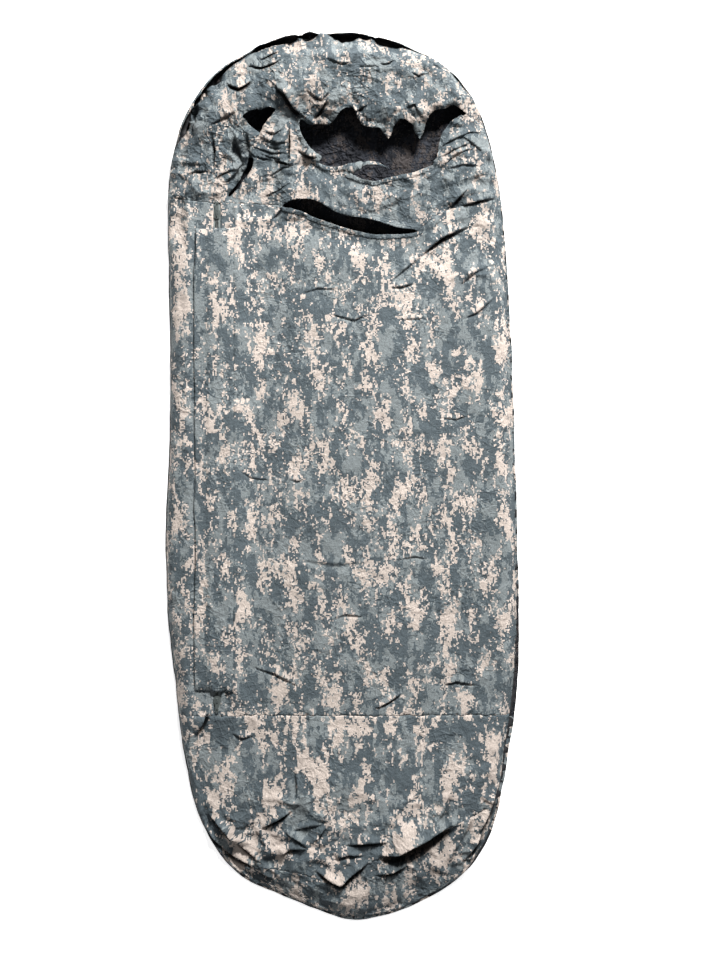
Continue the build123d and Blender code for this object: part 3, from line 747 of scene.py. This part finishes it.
def wrinkled(co, normals, flat):
    """The settled cloth with the folds and crumpling of laminated nylon, and how deep inside a fold it is,
    for the painted shade in the folds.
    """
    x, y = co[:, 0], co[:, 1]
    zip_zone = between(-0.382, -0.374, -0.272, -0.262, x)
    zip_zone *= between(ZIP_LOW - 0.03, ZIP_LOW - 0.01, 0.68, 0.7, y)
    free = 1 - zip_zone
    edge = nearest(cut_edge, flat, True, 0.03)[0]
    hood = smooth(0.55, 0.72, y) * (1 - 0.45 * bump(co, 0.1, 0.685, 0.2, 0.05))
    foot = smooth(-0.72, -0.9, y)
    warp = np.column_stack([value_noise(flat, 0.06, 3), value_noise(flat, 0.06, 4)]) * 0.02
    bent = flat + warp
    rise = (0.0018 + 0.0115 * hood + 0.006 * foot) * ridge_noise(bent * (0.8, 1.25), 0.085, 21, 0.4)
    rise += (0.0014 + 0.005 * hood + 0.0032 * foot) * ridge_noise(bent, 0.046, 22, 1.3)
    rise += (0.0012 + 0.002 * hood + 0.0016 * foot) * (crease_noise(bent, 0.03, 12) - 0.25)
    rise += (0.0005 + 0.0006 * hood + 0.0004 * foot) * ridge_noise(flat - warp, 0.019, 23, 0.8)
    rise += 0.0016 * value_noise(flat, 0.085, 14)
    co = co + normals * (rise * free * smooth(0.0, 0.02, edge))[:, None]
    free = free * smooth(0.0, 0.012, edge)
    inner = np.zeros(len(co))
    for depth, width, line, lit in random_creases():
        fold(co, inner, free, depth, width, line, CREASE, lit)
    for depth, width, line in FOLDS:
        fold(co, inner, free, depth, width, line, DEEP_FOLD, True, 0.7)
    return co, inner


def cloth_object(name, verts, faces, flat, materials, thickness):
    """A smooth sheet with thickness below it, its cut as UV map, and the last material on its underside."""
    obj = mesh_object(name, verts, faces)
    uv = obj.data.uv_layers.new(name="cut")
    uv.data.foreach_set("uv", flat[np.array(faces).ravel()].ravel())
    obj.data.shade_smooth()
    for m in materials:
        obj.data.materials.append(m)
    solid = obj.modifiers.new("thickness", "SOLIDIFY")
    solid.thickness = thickness
    solid.offset = -1
    solid.material_offset = len(materials) - 1
    return obj


def piece(name, co, faces, flat, materials, lift=0.0, normals=None, thickness=FABRIC_T, inner=None):
    """A sheet from some of the cloth's faces, with its cut as UV map and a dark inner face."""
    used, faces = np.unique(faces, return_inverse=True)
    faces = faces.reshape(-1, 4)
    verts = co[used]
    if normals is not None:
        verts = verts + normals[used] * lift
    obj = cloth_object(name, verts, faces, flat[used], materials, thickness)
    # each point's depth in a fold, which darkens the print as painted shade
    if inner is not None:
        shade = obj.data.attributes.new("inner", "FLOAT", "POINT")
        shade.data.foreach_set("value", inner[used])
    return obj


def strip(name, rows, uvs, materials, thickness):
    """A sheet from rows of points, all rows the same length."""
    rows = np.asarray(rows, float)
    count, across = rows.shape[:2]
    faces = []
    for a in range(0, (count - 1) * across, across):
        b = a + across
        faces += [(a + j, b + j, b + j + 1, a + j + 1) for j in range(across - 1)]
    flat = np.asarray(uvs, float).reshape(-1, 2)
    return cloth_object(name, rows.reshape(-1, 3), faces, flat, materials, thickness)


# ---- Materials ------------------------------------------------------------------------------


class Tree:
    """A material's node tree, with short ways to add nodes."""

    def __init__(self, name):
        self.material = bpy.data.materials.new(name)
        self.material.use_nodes = True
        self.nodes = self.material.node_tree.nodes
        self.links = self.material.node_tree.links
        self.shader = self.nodes["Principled BSDF"]

    def add(self, kind, settings=None, **inputs):
        node = self.nodes.new(kind)
        for key, value in (settings or {}).items():
            setattr(node, key, value)
        for key, value in inputs.items():
            socket = node.inputs[int(key[1:])] if key[0] == "i" and key[1:].isdigit() else node.inputs[key]
            self.put(value, socket)
        return node.outputs[0]

    def put(self, value, socket):
        if isinstance(value, bpy.types.NodeSocket):
            self.links.new(value, socket)
        else:
            socket.default_value = value

    def math(self, operation, a, b=0.0, c=0.0):
        return self.add("ShaderNodeMath", {"operation": operation}, i0=a, i1=b, i2=c)

    def vector(self, operation, a, b=(0, 0, 0)):
        return self.add("ShaderNodeVectorMath", {"operation": operation}, i0=a, i1=b)

    def noise(self, where, scale, detail=2.0, roughness=0.5):
        sockets = {"Vector": where, "Scale": scale, "Detail": detail, "Roughness": roughness}
        return self.add("ShaderNodeTexNoise", None, **sockets)

    def mix(self, share, a, b):
        node = self.nodes.new("ShaderNodeMix")
        node.data_type = "RGBA"
        self.put(share, node.inputs[0])
        self.put(a, node.inputs[6])
        self.put(b, node.inputs[7])
        return node.outputs[2]

    def scaled(self, colour, share):
        node = self.nodes.new("ShaderNodeVectorMath")
        node.operation = "SCALE"
        self.links.new(colour, node.inputs[0])
        self.links.new(share, node.inputs["Scale"])
        return node.outputs[0]

    def ranged(self, value, low, high, first=0.0, last=1.0):
        return self.add("ShaderNodeMapRange", None, Value=value, i1=low, i2=high, i3=first, i4=last)

    def step(self, value, edge, width):
        return self.ranged(value, edge - width, edge + width)

    def bump(self, height, distance, strength=1.0, under=None):
        node = self.nodes.new("ShaderNodeBump")
        node.inputs["Strength"].default_value = strength
        node.inputs["Distance"].default_value = distance
        self.links.new(height, node.inputs["Height"])
        if under is not None:
            self.links.new(under, node.inputs["Normal"])
        return node.outputs[0]


def srgb(r, g, b):
    """A colour given in 8-bit sRGB, as linear red, green, blue and alpha."""
    linear = [c / 255 / 12.92 if c <= 10 else ((c / 255 + 0.055) / 1.055) ** 2.4 for c in (r, g, b)]
    return (*linear, 1.0)


CELL = 0.0033  # the printed camouflage's cell


def pixel_print(t, tones, phase, size=1.0, sharp=1.0, sand_from=1.0, pale_from=0.88):
    """A three-tone print of small square cells: sand, pale and dark, in patches drawn out along the bag."""
    uv = t.add("ShaderNodeUVMap", {"uv_map": "cut"})
    place = t.vector("ADD", uv, phase)
    cell = t.vector("SNAP", place, (CELL, CELL, CELL))
    long_cell = t.vector("MULTIPLY", cell, (1.0, 0.5, 1.0))
    grain = t.add("ShaderNodeTexWhiteNoise", {"noise_dimensions": "3D"}, Vector=cell)
    patch = t.noise(long_cell, 21 / size, 2.0, 0.55)
    speck = t.noise(long_cell, 115 / size, 2.0, 0.6)
    field = t.math("ADD", patch, t.math("MULTIPLY", speck, 0.72))
    field = t.math("ADD", field, t.math("MULTIPLY", grain, 0.13 / sharp))
    other = t.vector("ADD", long_cell, (3.1, 7.7, 1.3))
    patch_b = t.noise(other, 27 / size, 2.0, 0.55)
    speck_b = t.noise(other, 105 / size, 2.0, 0.6)
    field_b = t.math("ADD", patch_b, t.math("MULTIPLY", speck_b, 0.6))
    field_b = t.math("ADD", field_b, t.math("MULTIPLY", grain, 0.11 / sharp))
    sand, pale, dark = tones
    ground = t.mix(t.step(field_b, pale_from, 0.02), dark, pale)
    printed = t.mix(t.step(field, sand_from, 0.006), ground, sand)
    fine = t.vector("SNAP", place, (CELL / 2, CELL / 2, CELL / 2))
    dust = t.add("ShaderNodeTexWhiteNoise", {"noise_dimensions": "3D"}, Vector=fine)
    return t.scaled(printed, t.ranged(dust, 0.0, 1.0, 0.79, 1.21)), uv


def crinkle_bump(t, uv, strength=1.0):
    """Weave, and the finer crinkles that the mesh is too coarse for."""
    bent = t.noise(uv, 30.0)
    bent = t.vector("ADD", uv, t.vector("MULTIPLY", bent.node.outputs["Color"], (0.012, 0.012, 0.0)))
    height = None
    for scale, weight in ((42.0, 1.0), (85.0, 0.55), (170.0, 0.3)):
        n = t.noise(bent, scale, 1.0, 0.5)
        sharp = t.math("ABSOLUTE", t.math("SUBTRACT", n, 0.5))
        sharp = t.math("MULTIPLY", sharp, -4.0 * weight)
        height = sharp if height is None else t.math("ADD", height, sharp)
    drawn = t.ranged(t.noise(uv, 8.0, 1.0), 0.4, 0.62)
    for turn, scale in ((0.45, 38.0), (-0.35, 52.0), (1.25, 44.0)):
        spun = t.add("ShaderNodeVectorRotate", {"rotation_type": "Z_AXIS"}, Vector=bent, Angle=turn)
        spun = t.vector("MULTIPLY", spun, (0.3, 1.0, 1.0))
        line = t.math("ABSOLUTE", t.math("SUBTRACT", t.noise(spun, scale, 1.0, 0.5), 0.5))
        line = t.math("MULTIPLY", t.math("MINIMUM", line, 0.07), -16.0)
        height = t.math("ADD", height, t.math("MULTIPLY", line, drawn))
    facet = t.add("ShaderNodeTexVoronoi", {"feature": "DISTANCE_TO_EDGE"}, Vector=bent, Scale=75.0)
    height = t.math("ADD", height, t.math("MULTIPLY", t.math("MINIMUM", facet, 0.35), 1.0))
    first = t.bump(height, 0.0022, 0.8 * strength)
    thread = {"Vector": uv, "Scale": 430.0, "Distortion": 0.4, "Detail": 1.0}
    warp, weft = (t.add("ShaderNodeTexWave", {"bands_direction": way}, **thread) for way in "XY")
    return t.bump(t.math("MAXIMUM", warp, weft), 0.00012, 0.5, first)


SAND, PALE, DEEP = (182, 171, 163), (114, 121, 123), (76, 85, 90)  # the print's tones, in 8-bit sRGB


def dimmed(rgb, share):
    """An 8-bit sRGB colour as a linear one, with its light scaled."""
    return tuple(c * share for c in srgb(*rgb)[:3]) + (1.0,)


def camouflage(
    name, phase=(0, 0, 0), size=1.0, sharp=1.0, tone=1.0, crinkle=0.5,
    sand_from=1.0, pale_from=0.88, sand=1.0,
):
    """The laminate's printed face, with painted shade darkening it where the cloth's inner attribute says
    that it is deep in a fold.

    phase moves the print, size and sharp shape its patches, sand_from and pale_from are where the two lighter
    tones begin, and tone and sand dim the whole print and its sand; the hood's, chin's and gusset's dimmed
    copies are painted shade.
    """
    t = Tree(name)
    tones = [dimmed(SAND, tone * sand), dimmed(PALE, tone), dimmed(DEEP, tone)]
    printed, uv = pixel_print(t, tones, phase, size, sharp, sand_from, pale_from)
    worn = t.ranged(t.noise(uv, 9.0, 4.0, 0.6), 0.3, 0.7, 0.93, 1.07)
    # painted shade: the print darkens to about a tenth deep in a fold's valley (inner); worn is a random
    # unevenness in tone
    inner = t.add("ShaderNodeAttribute", {"attribute_name": "inner"}).node.outputs["Fac"]
    shade = t.math("MULTIPLY", worn, t.ranged(inner, 0.12, 0.85, 1.0, 0.09))
    t.links.new(t.scaled(printed, shade), t.shader.inputs["Base Color"])
    t.links.new(t.ranged(t.noise(uv, 60.0), 0.3, 0.7, 0.55, 0.72), t.shader.inputs["Roughness"])
    t.shader.inputs["Specular IOR Level"].default_value = 0.13
    t.links.new(crinkle_bump(t, uv, crinkle), t.shader.inputs["Normal"])
    return t.material


def dark_film(name):
    """The laminate's inner face: near black, with the camouflage print repeated in it in darkened tones as
    painted shade.
    """
    t = Tree(name)
    # the camouflage's sand, pale and dark tones darkened to under a third: painted shade
    tones = [srgb(52, 48, 48), srgb(33, 36, 43), srgb(20, 22, 28)]
    printed, uv = pixel_print(t, tones, (0.4, 0.2, 0), 1.0, 1.0)
    t.links.new(printed, t.shader.inputs["Base Color"])
    t.shader.inputs["Roughness"].default_value = 0.72
    t.shader.inputs["Specular IOR Level"].default_value = 0.22
    t.links.new(crinkle_bump(t, uv, 1.3), t.shader.inputs["Normal"])
    return t.material


def plain(name, rgb, roughness, metallic=0.0, grain=400.0, depth=0.00005, spread=0.12):
    """A painted, moulded or woven finish with slight unevenness in colour and surface."""
    t = Tree(name)
    place = t.add("ShaderNodeTexCoord").node.outputs["Object"]
    fine = t.noise(place, grain, 3.0, 0.6)
    t.links.new(t.mix(fine, dimmed(rgb, 1 - spread), dimmed(rgb, 1 + spread)), t.shader.inputs["Base Color"])
    rough = t.ranged(fine, 0.2, 0.8, roughness - 0.07, roughness + 0.07)
    t.links.new(rough, t.shader.inputs["Roughness"])
    t.shader.inputs["Metallic"].default_value = metallic
    t.links.new(t.bump(fine, depth, 0.6), t.shader.inputs["Normal"])
    return t.material


CAMO = camouflage("camo_body")
# painted shade: the hood's and chin's copies of the print are dimmed (tone, sand), so slopes that face the
# key lamp come out no brighter than the body
CAMO_HOOD = camouflage("camo_hood", sharp=1.1, tone=0.95, crinkle=0.9, sand=0.8)
CAMO_CHIN = camouflage("camo_chin", (1.31, 0.57, 0.0), sharp=1.1, tone=0.92, crinkle=0.75, sand=0.84)
FOOT_PRINT = {"sand_from": 0.965, "pale_from": 0.905}
CAMO_FOOT = camouflage("camo_foot", (0.83, 0.41, 0.0), 1.45, sharp=1.4, tone=1.08, **FOOT_PRINT)
# painted shade: the gusset's copy is dimmed a little (tone) for its shaded, crumpled folds
CAMO_GUSSET = camouflage(
    "camo_gusset", (2.13, 0.75, 0.0), 1.35, sharp=1.3, tone=0.97, crinkle=0.6, **FOOT_PRINT
)
CAMO_FLOOR = camouflage("camo_floor", (4.2, 1.1, 0.0))
DARK = dark_film("dark_film")
SEAM_TAPE = plain("seam_tape", (30, 31, 34), 0.45)
ZIP_TAPE = plain("zipper_tape", (112, 120, 120), 0.85, 0.0, 1500.0, 0.0002)
COIL = plain("zipper_coil", (88, 94, 93), 0.4)
PAINTED_METAL = plain("painted_metal", (84, 91, 90), 0.42, 0.3, 900.0)
SNAP_METAL = plain("snap_metal", (46, 48, 46), 0.35, 0.8, 900.0)
PANEL_CAMO = {
    "hood_panel": CAMO_HOOD,
    "chin_band": CAMO_CHIN,
    "front_panel": CAMO,
    "left_panel": CAMO,
    "foot_panel": CAMO_FOOT,
    "foot_gusset": CAMO_GUSSET,
}


# ---- The top panels, hems and seam tapes ----------------------------------------------------


def sheet_size(flat, faces):
    """A panel's cut: its width and length along the axes, and its flat area."""
    pts = flat[np.unique(faces)]
    size = pts.max(0) - pts.min(0)
    a, b, c, d = (flat[faces[:, k]] for k in range(4))
    p, q = c - a, d - b
    area = float(np.abs(p[:, 0] * q[:, 1] - p[:, 1] * q[:, 0]).sum() / 2)
    return (float(size[0]), float(size[1])), area


def make_top():
    flat, faces, panel = make_cut()
    verts = lie(flat)
    work = mesh_object("cloth_sim", verts, faces)
    settled = slacken(work, flat, 26)
    bpy.data.objects.remove(work)
    shift = settled - verts
    size = np.linalg.norm(shift, axis=1)
    shift *= (0.014 * np.tanh(size / 0.014) / np.maximum(size, 1e-9))[:, None]
    verts = verts + shift
    co, quads, flat, panel, normals = refined(verts, faces, flat, panel)
    co, inner = wrinkled(co, normals, flat)
    co[:, 2] = np.maximum(co[:, 2], FABRIC_T + 0.0003)
    for k, name in enumerate(PANELS):
        chosen = quads[panel == k]
        obj = piece(name, co, chosen, flat, [PANEL_CAMO[name], DARK], inner=inner)
        obj.name = name + "_cloth"
        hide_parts(name)
        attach(obj, "bag")
        size, area = sheet_size(flat, chosen)
    middle = flat[quads].mean(axis=1)
    hem_w = 0.011

    def near(line, closed=True):
        return nearest(line, middle, closed, 0.03)[0]

    chin = panel == PANELS.index("chin_band")
    hems = {
        "brow_hem": (near(face_edge) < hem_w) & ~chin,
        "chin_hem": (near(face_edge) < hem_w) & chin,
        "chin_lower_hem": (near(slit_edge) < hem_w) & chin,
        "front_upper_hem": (near(slit_edge) < hem_w) & ~chin,
    }
    # the hems take the chin's copy of the print, dimmed as painted shade
    for name, chosen in hems.items():
        hem = piece(name, co, quads[chosen], flat, [CAMO_CHIN], 0.0011, normals, 0.0011)
        hem.name = name + "_fold"
        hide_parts(name)
        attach(hem, "bag")
    tape_half = 0.011
    tapes = {
        "foot_seam_tape": near([(-SIDE, FOOT_SEAM_Y), (SIDE, FOOT_SEAM_Y)], False) < tape_half,
        "gusset_seam_tape": near(GUSSET_SEAM, False) < tape_half,
        "chin_seam_tape": (near(CHIN_SEAM, False) < tape_half) & (near(slit_edge) > 0.004),
    }
    for name, chosen in tapes.items():
        tape = piece(name, co, quads[chosen], flat, [SEAM_TAPE], -FABRIC_T - 0.0004, normals, 0.0004)
        tape.name = name + "_strip"
        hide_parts(name)
        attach(tape, "bag")


# ---- The floor, and the rim behind the hood --------------------------------------------------


def make_floor():
    step = 0.026
    grid = staggered(floor_edge, step)
    grid = grid[nearest(floor_edge, grid, True, 0.05)[0] > step / 2]
    points = [tuple(p) for p in floor_edge] + [tuple(p) for p in grid]
    count = len(floor_edge)
    edges = [(i, (i + 1) % count) for i in range(count)]
    flat, faces = triangulated(points, edges, 1)
    co, quads, flat, _, normals = refined(
        np.column_stack([flat, np.zeros(len(flat))]), faces, flat, np.zeros(len(faces))
    )
    d = nearest(floor_edge, flat, True, 0.1)[0]
    co[:, 2] = 0.0013 + 0.0016 * (1 - smooth(0.0, 0.01, d))
    puckers = crease_noise(flat, 0.05, 31) + crease_noise(flat, 0.02, 32)
    co[:, 2] += 0.0012 * smooth(0.03, 0.06, d) * puckers
    floor = piece("floor_panel_cloth", co, quads, flat, [DARK, CAMO_FLOOR], thickness=0.0011)
    middle = flat[quads].mean(axis=1)
    # painted shadow: on the right, from y -0.6 to -0.3, the floor's edge keeps the dark film instead of the
    # print, a dark strip beside the top's overhanging edge
    gap = (middle[:, 0] > 0.2) & (middle[:, 1] > -0.6) & (middle[:, 1] < -0.3)
    edging = (d[quads].mean(axis=1) < 0.007) & (middle[:, 1] < 0.8) & ~gap
    floor.data.polygons.foreach_set("material_index", edging.astype(np.int32))
    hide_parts("floor_panel")
    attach(floor, "bag")
    tape = (d[quads].mean(axis=1) > 0.006) & (d[quads].mean(axis=1) < 0.026)
    perimeter = piece(
        "perimeter_seam_tape_strip", co, quads[tape], flat, [SEAM_TAPE], 0.0006, normals, 0.0004
    )
    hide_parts("perimeter_seam_tape")
    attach(perimeter, "bag")


def make_head_wall():
    """The back panel's rim behind the hood: rolled inwards at the left, standing further on, dark inside."""
    start = int(np.argmax((outline[:, 0] > 0) & (outline[:, 1] > 0.86)))
    end = len(outline) - int(np.argmax((outline[::-1, 0] < 0) & (outline[::-1, 1] > 0.76)))
    loop = outline[start:end, :2]
    inset = outline[start:end, 2]
    normals = inward(outline[:, :2])[start:end]
    length = np.concatenate([[0], np.cumsum(np.linalg.norm(np.diff(loop, axis=0), axis=1))])
    share = length / length[-1]
    ends = smooth(0, 0.08, share) * smooth(0, 0.08, 1 - share)
    spots = np.column_stack([length, length * 0])
    wave, flutter = value_noise(spots, 0.075, 41), value_noise(spots, 0.026, 42)
    rolled = smooth(-0.2, -0.27, loop[:, 0])
    tall = (0.014 + 0.028 * smooth(0.004, 0.02, inset) * (1 - 0.25 * rolled)) * ends + 0.003
    tall = tall * (1 + 0.16 * wave) + 0.0016 * flutter * ends
    reach = 0.0042 + 0.0014 * flutter + rolled * (0.0065 + 0.003 * wave)
    reach = np.minimum(reach, np.maximum(0.6 * inset, 0.001))
    steps = 13
    turn = np.linspace(0, 1, steps)
    rows, uvs = [], []
    for i in range(len(loop)):
        lean = 0.0006 + reach[i] * turn**1.6 * ends[i]
        z = 0.0012 + tall[i] * np.sin(np.minimum(turn * 1.75, 1.75)) ** 0.9
        rows.append(np.column_stack([loop[i] + normals[i] * lean[:, None], z]))
        uvs.append(np.column_stack([np.full(steps, length[i]), turn * 0.05]))
    wall = strip("head_wall_cloth", rows, uvs, [CAMO_FLOOR, DARK], 0.0009)
    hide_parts("head_wall")
    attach(wall, "bag")


# ---- Zipper ----------------------------------------------------------------------------------


def make_coil(side, name, node):
    """One nylon coil: an oval helix whose turns reach past the middle to lock with the other side's."""
    low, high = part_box(node)
    pitch, wire, sides, per_turn = 0.002, 0.00034, 5, 10
    turns = int((high.y - low.y) / pitch)
    shift = 0.0 if side < 0 else 0.5
    outer = low.x if side < 0 else high.x
    inner = ZIP_X - side * 0.0006
    centre_x, half_x = (outer + inner) / 2, abs(outer - inner) / 2 - wire
    centre_z, half_z = (low.z + high.z) / 2, (high.z - low.z) / 2 - wire
    angle = np.arange(turns * per_turn) / per_turn
    line = np.column_stack([
        centre_x + half_x * np.cos(2 * np.pi * angle),
        low.y + (angle + shift) * pitch * 0.999,
        centre_z + half_z * np.sin(2 * np.pi * angle) * side,
    ])
    ahead = np.gradient(line, axis=0)
    ahead /= np.linalg.norm(ahead, axis=1)[:, None]
    across = np.cross(ahead, (0, 1, 0))
    across /= np.linalg.norm(across, axis=1)[:, None]
    up = np.cross(across, ahead)
    turn = 2 * np.pi * np.arange(sides) / sides
    ring = np.cos(turn)[None, :, None] * across[:, None] + np.sin(turn)[None, :, None] * up[:, None]
    verts = (line[:, None] + wire * ring).reshape(-1, 3)
    faces = []
    for i in range(len(line) - 1):
        a, b = i * sides, (i + 1) * sides
        faces += [(a + j, b + j, b + (j + 1) % sides, a + (j + 1) % sides) for j in range(sides)]
    faces += [tuple(range(sides)), tuple(range(len(verts) - 1, len(verts) - 1 - sides, -1))]
    coil = mesh_object(name, verts, faces)
    coil.data.shade_smooth()
    coil.data.materials.append(COIL)
    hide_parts(node)
    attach(coil, "bag")


# ---- Storm flap ------------------------------------------------------------------------------


def flap_rows(profile, low_y, high_y, wave, seed, flat_z, sink=0.0):
    """Rows of points along the flap, following a profile of (x, z) across it, with a cloth's small waves.

    Both ends press down towards flat_z, and over the zipper they sink a little, clear of a folded pull.
    """
    steps = 190
    profile = np.array(profile)
    rows, uvs = [], []
    across = np.linspace(0, 1, len(profile))
    for y in np.linspace(low_y, high_y, steps):
        spots = np.column_stack([profile[:, 0], np.full(len(profile), y)])
        lift = np.abs(value_noise(spots * (1.0, 0.5), 0.03, seed))
        lift = lift + 0.6 * crease_noise(spots, 0.025, seed + 1)
        edge = 0.003 * value_noise(np.array([[y, 0.0]]), 0.07, seed + 2)[0]
        x = profile[:, 0] + edge * smooth(0.55, 1.0, across)
        from_end = min(y - low_y, high_y - y)
        raised = wave * lift * smooth(0.0, 0.03, from_end) - sink * (1 - smooth(0.0, 0.01, from_end))
        z = profile[:, 1] + raised * smooth(0.0, 0.12, across)
        low = (1 - smooth(0.0, 0.016, from_end)) * smooth(-0.284, -0.29, profile[:, 0])
        low *= smooth(0.011, 0.018, np.abs(profile[:, 0] - ZIP_X))
        z = np.where(z > flat_z, z + (flat_z - z) * low, z)
        rows.append(np.column_stack([x, np.full(len(profile), y), z]))
        uvs.append(spots)
    return rows, uvs


def make_flap():
    skin = 0.0004
    top_z, edge_z = FLAP_HIGH.z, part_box("snap_caps")[1].z + 0.001
    bend = (-0.326, -0.34)
    seam_z = WELT_HIGH.z + 0.0014
    profile = [(-0.269, seam_z - 0.0004), (-0.2705, seam_z + 0.0004), (-0.274, seam_z + 0.0006)]
    profile += [(-0.277, seam_z + 0.0009), (-0.2785, seam_z + 0.001), (-0.281, top_z + 0.0001)]
    profile += [(x, top_z + skin) for x in np.linspace(-0.284, bend[0], 14)]
    for t in (0.25, 0.5, 0.75, 1.0):
        x = bend[0] + (bend[1] - bend[0]) * t
        profile.append((x, top_z + (edge_z - top_z) * smooth(0, 1, t) + skin))
    profile += [(x, edge_z + skin) for x in np.linspace(bend[1] - 0.003, FLAP_LOW.x + 0.002, 8)]
    profile += [(FLAP_LOW.x - 0.0002, edge_z - 0.0004), (FLAP_LOW.x - 0.0006, edge_z - 0.0016)]
    profile.append((FLAP_LOW.x, FLAP_LOW.z - 0.0002))
    rows, uvs = flap_rows(profile, FLAP_LOW.y, FLAP_HIGH.y, 0.0011, 51, SHELF_Z + 0.003, 0.00045)
    flap = strip("storm_flap_cloth", rows, uvs, [CAMO, DARK], 0.0008)
    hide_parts("storm_flap")
    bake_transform(flap)


def make_lining():
    low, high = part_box("flap_lining")
    under_z, edge_z = high.z + 0.0001, low.z + 0.0003
    profile = [(x, under_z) for x in np.linspace(high.x - 0.0016, -0.3258, 14)]
    for t in (0.25, 0.5, 0.75, 1.0):
        profile.append((-0.3258 - 0.014 * t, under_z + (edge_z - under_z) * smooth(0, 1, t)))
    profile += [(x, edge_z) for x in np.linspace(-0.343, low.x + 0.0002, 8)]
    rows, uvs = flap_rows(profile, FLAP_LOW.y + 0.001, FLAP_HIGH.y - 0.001, 0.0, 61, SHELF_Z + 0.0021)
    lining = strip("flap_lining_cloth", rows, uvs, [DARK], 0.0005)
    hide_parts("flap_lining")
    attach(lining, "flap")


def make_welt():
    """The sewn ridge that the flap turns on: both cloths folded up and topstitched."""
    x0, x1 = WELT_LOW.x + 0.0002, WELT_HIGH.x - 0.0016
    z0, z1 = WELT_LOW.z, WELT_HIGH.z
    loop = [
        (x1, z0), (x1, z1 - 0.001), (x1 - 0.0006, z1 - 0.0002), ((x0 + x1) / 2, z1),
        (x0 + 0.0006, z1 - 0.0002), (x0, z1 - 0.001), (x0, z0),
    ]
    rows, uvs = [], []
    for y in np.linspace(WELT_LOW.y, WELT_HIGH.y, 200):
        wave = 0.0003 * value_noise(np.array([[y, 0.3]]), 0.012, 71)[0]
        rows.append([(x + wave, y, z) for x, z in loop])
        uvs.append([(x, y + z - z0) for x, z in loop])
    welt = strip("flap_welt_fold", rows, uvs, [CAMO], 0.0006)
    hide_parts("flap_welt")
    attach(welt, "bag")


# ---- Setting ---------------------------------------------------------------------------------


def aim(obj, target):
    obj.rotation_mode = "QUATERNION"
    obj.rotation_quaternion = (Vector(target) - obj.location).to_track_quat("-Z", "Y")


def area_light(name, place, size, power, target=(0, 0, 0), colour=(1, 1, 1)):
    light = bpy.data.lights.new(name, "AREA")
    light.energy, light.size, light.color = power, size, colour
    obj = bpy.data.objects.new(name, light)
    obj.location = place
    bpy.context.scene.collection.objects.link(obj)
    aim(obj, target)


def make_camera():
    """Straight above, with the head at the top of the frame, framed as the object is seen."""
    image_height = 2.384  # metres of ground from the frame's top to its bottom
    camera = bpy.data.cameras.new("camera")
    camera.sensor_width = 36
    camera.lens = 70
    obj = bpy.data.objects.new("camera", camera)
    middle = Vector((0.0436, -0.005, 0))
    distance = image_height / 2 * camera.lens / (camera.sensor_width / 2)
    obj.location = middle + Vector((0, 0, distance))
    bpy.context.scene.collection.objects.link(obj)
    bpy.context.scene.camera = obj


def make_ground():
    mesh = bpy.data.meshes.new("ground")
    reach = 60  # far enough for a low view to meet no corner
    corners = [(-reach, -reach, 0), (reach, -reach, 0), (reach, reach, 0), (-reach, reach, 0)]
    mesh.from_pydata(corners, [], [(0, 1, 2, 3)])
    ground = bpy.data.objects.new("ground", mesh)
    ground.location.z = -0.0004
    bpy.context.scene.collection.objects.link(ground)
    t = Tree("ground")
    t.shader.inputs["Base Color"].default_value = (0.96, 0.96, 0.96, 1)
    t.shader.inputs["Roughness"].default_value = 0.9
    t.shader.inputs["Emission Color"].default_value = (1, 1, 1, 1)
    t.shader.inputs["Emission Strength"].default_value = 0.7
    mesh.materials.append(t.material)


def make_lights():
    world = bpy.data.worlds.new("world")
    world.use_nodes = True
    background = world.node_tree.nodes["Background"]
    background.inputs["Color"].default_value = (0.97, 0.98, 1.0, 1)
    background.inputs["Strength"].default_value = 0.14
    bpy.context.scene.world = world
    area_light("key", (1.3, 4.1, 3.2), 1.0, 700, colour=(1.0, 0.985, 0.965))
    area_light("fill", (2.2, -2.2, 4.2), 3.0, 30)
    bpy.context.scene.view_settings.view_transform = "Standard"


make_camera()
make_floor()
make_top()
make_head_wall()
make_coil(-1, "zipper_coil_left_turns", "zipper_coil_left")
make_coil(1, "zipper_coil_right_turns", "zipper_coil_right")
make_flap()
make_lining()
make_welt()
CAD_FINISH = {
    "zipper_tape_left": ZIP_TAPE,
    "zipper_tape_right": ZIP_TAPE,
    "zipper_top_stops": PAINTED_METAL,
    "zipper_bottom_stop": PAINTED_METAL,
    "upper_slider": PAINTED_METAL,
    "upper_slider_pull": PAINTED_METAL,
    "lower_slider": PAINTED_METAL,
    "lower_slider_pull": PAINTED_METAL,
    "snap_caps": SNAP_METAL,
    "snap_sockets": SNAP_METAL,
    "snap_studs": SNAP_METAL,
    "snap_posts": SNAP_METAL,
}
for node, material in CAD_FINISH.items():
    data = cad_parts[node].data
    data.materials.clear()
    data.materials.append(material)
make_ground()
make_lights()
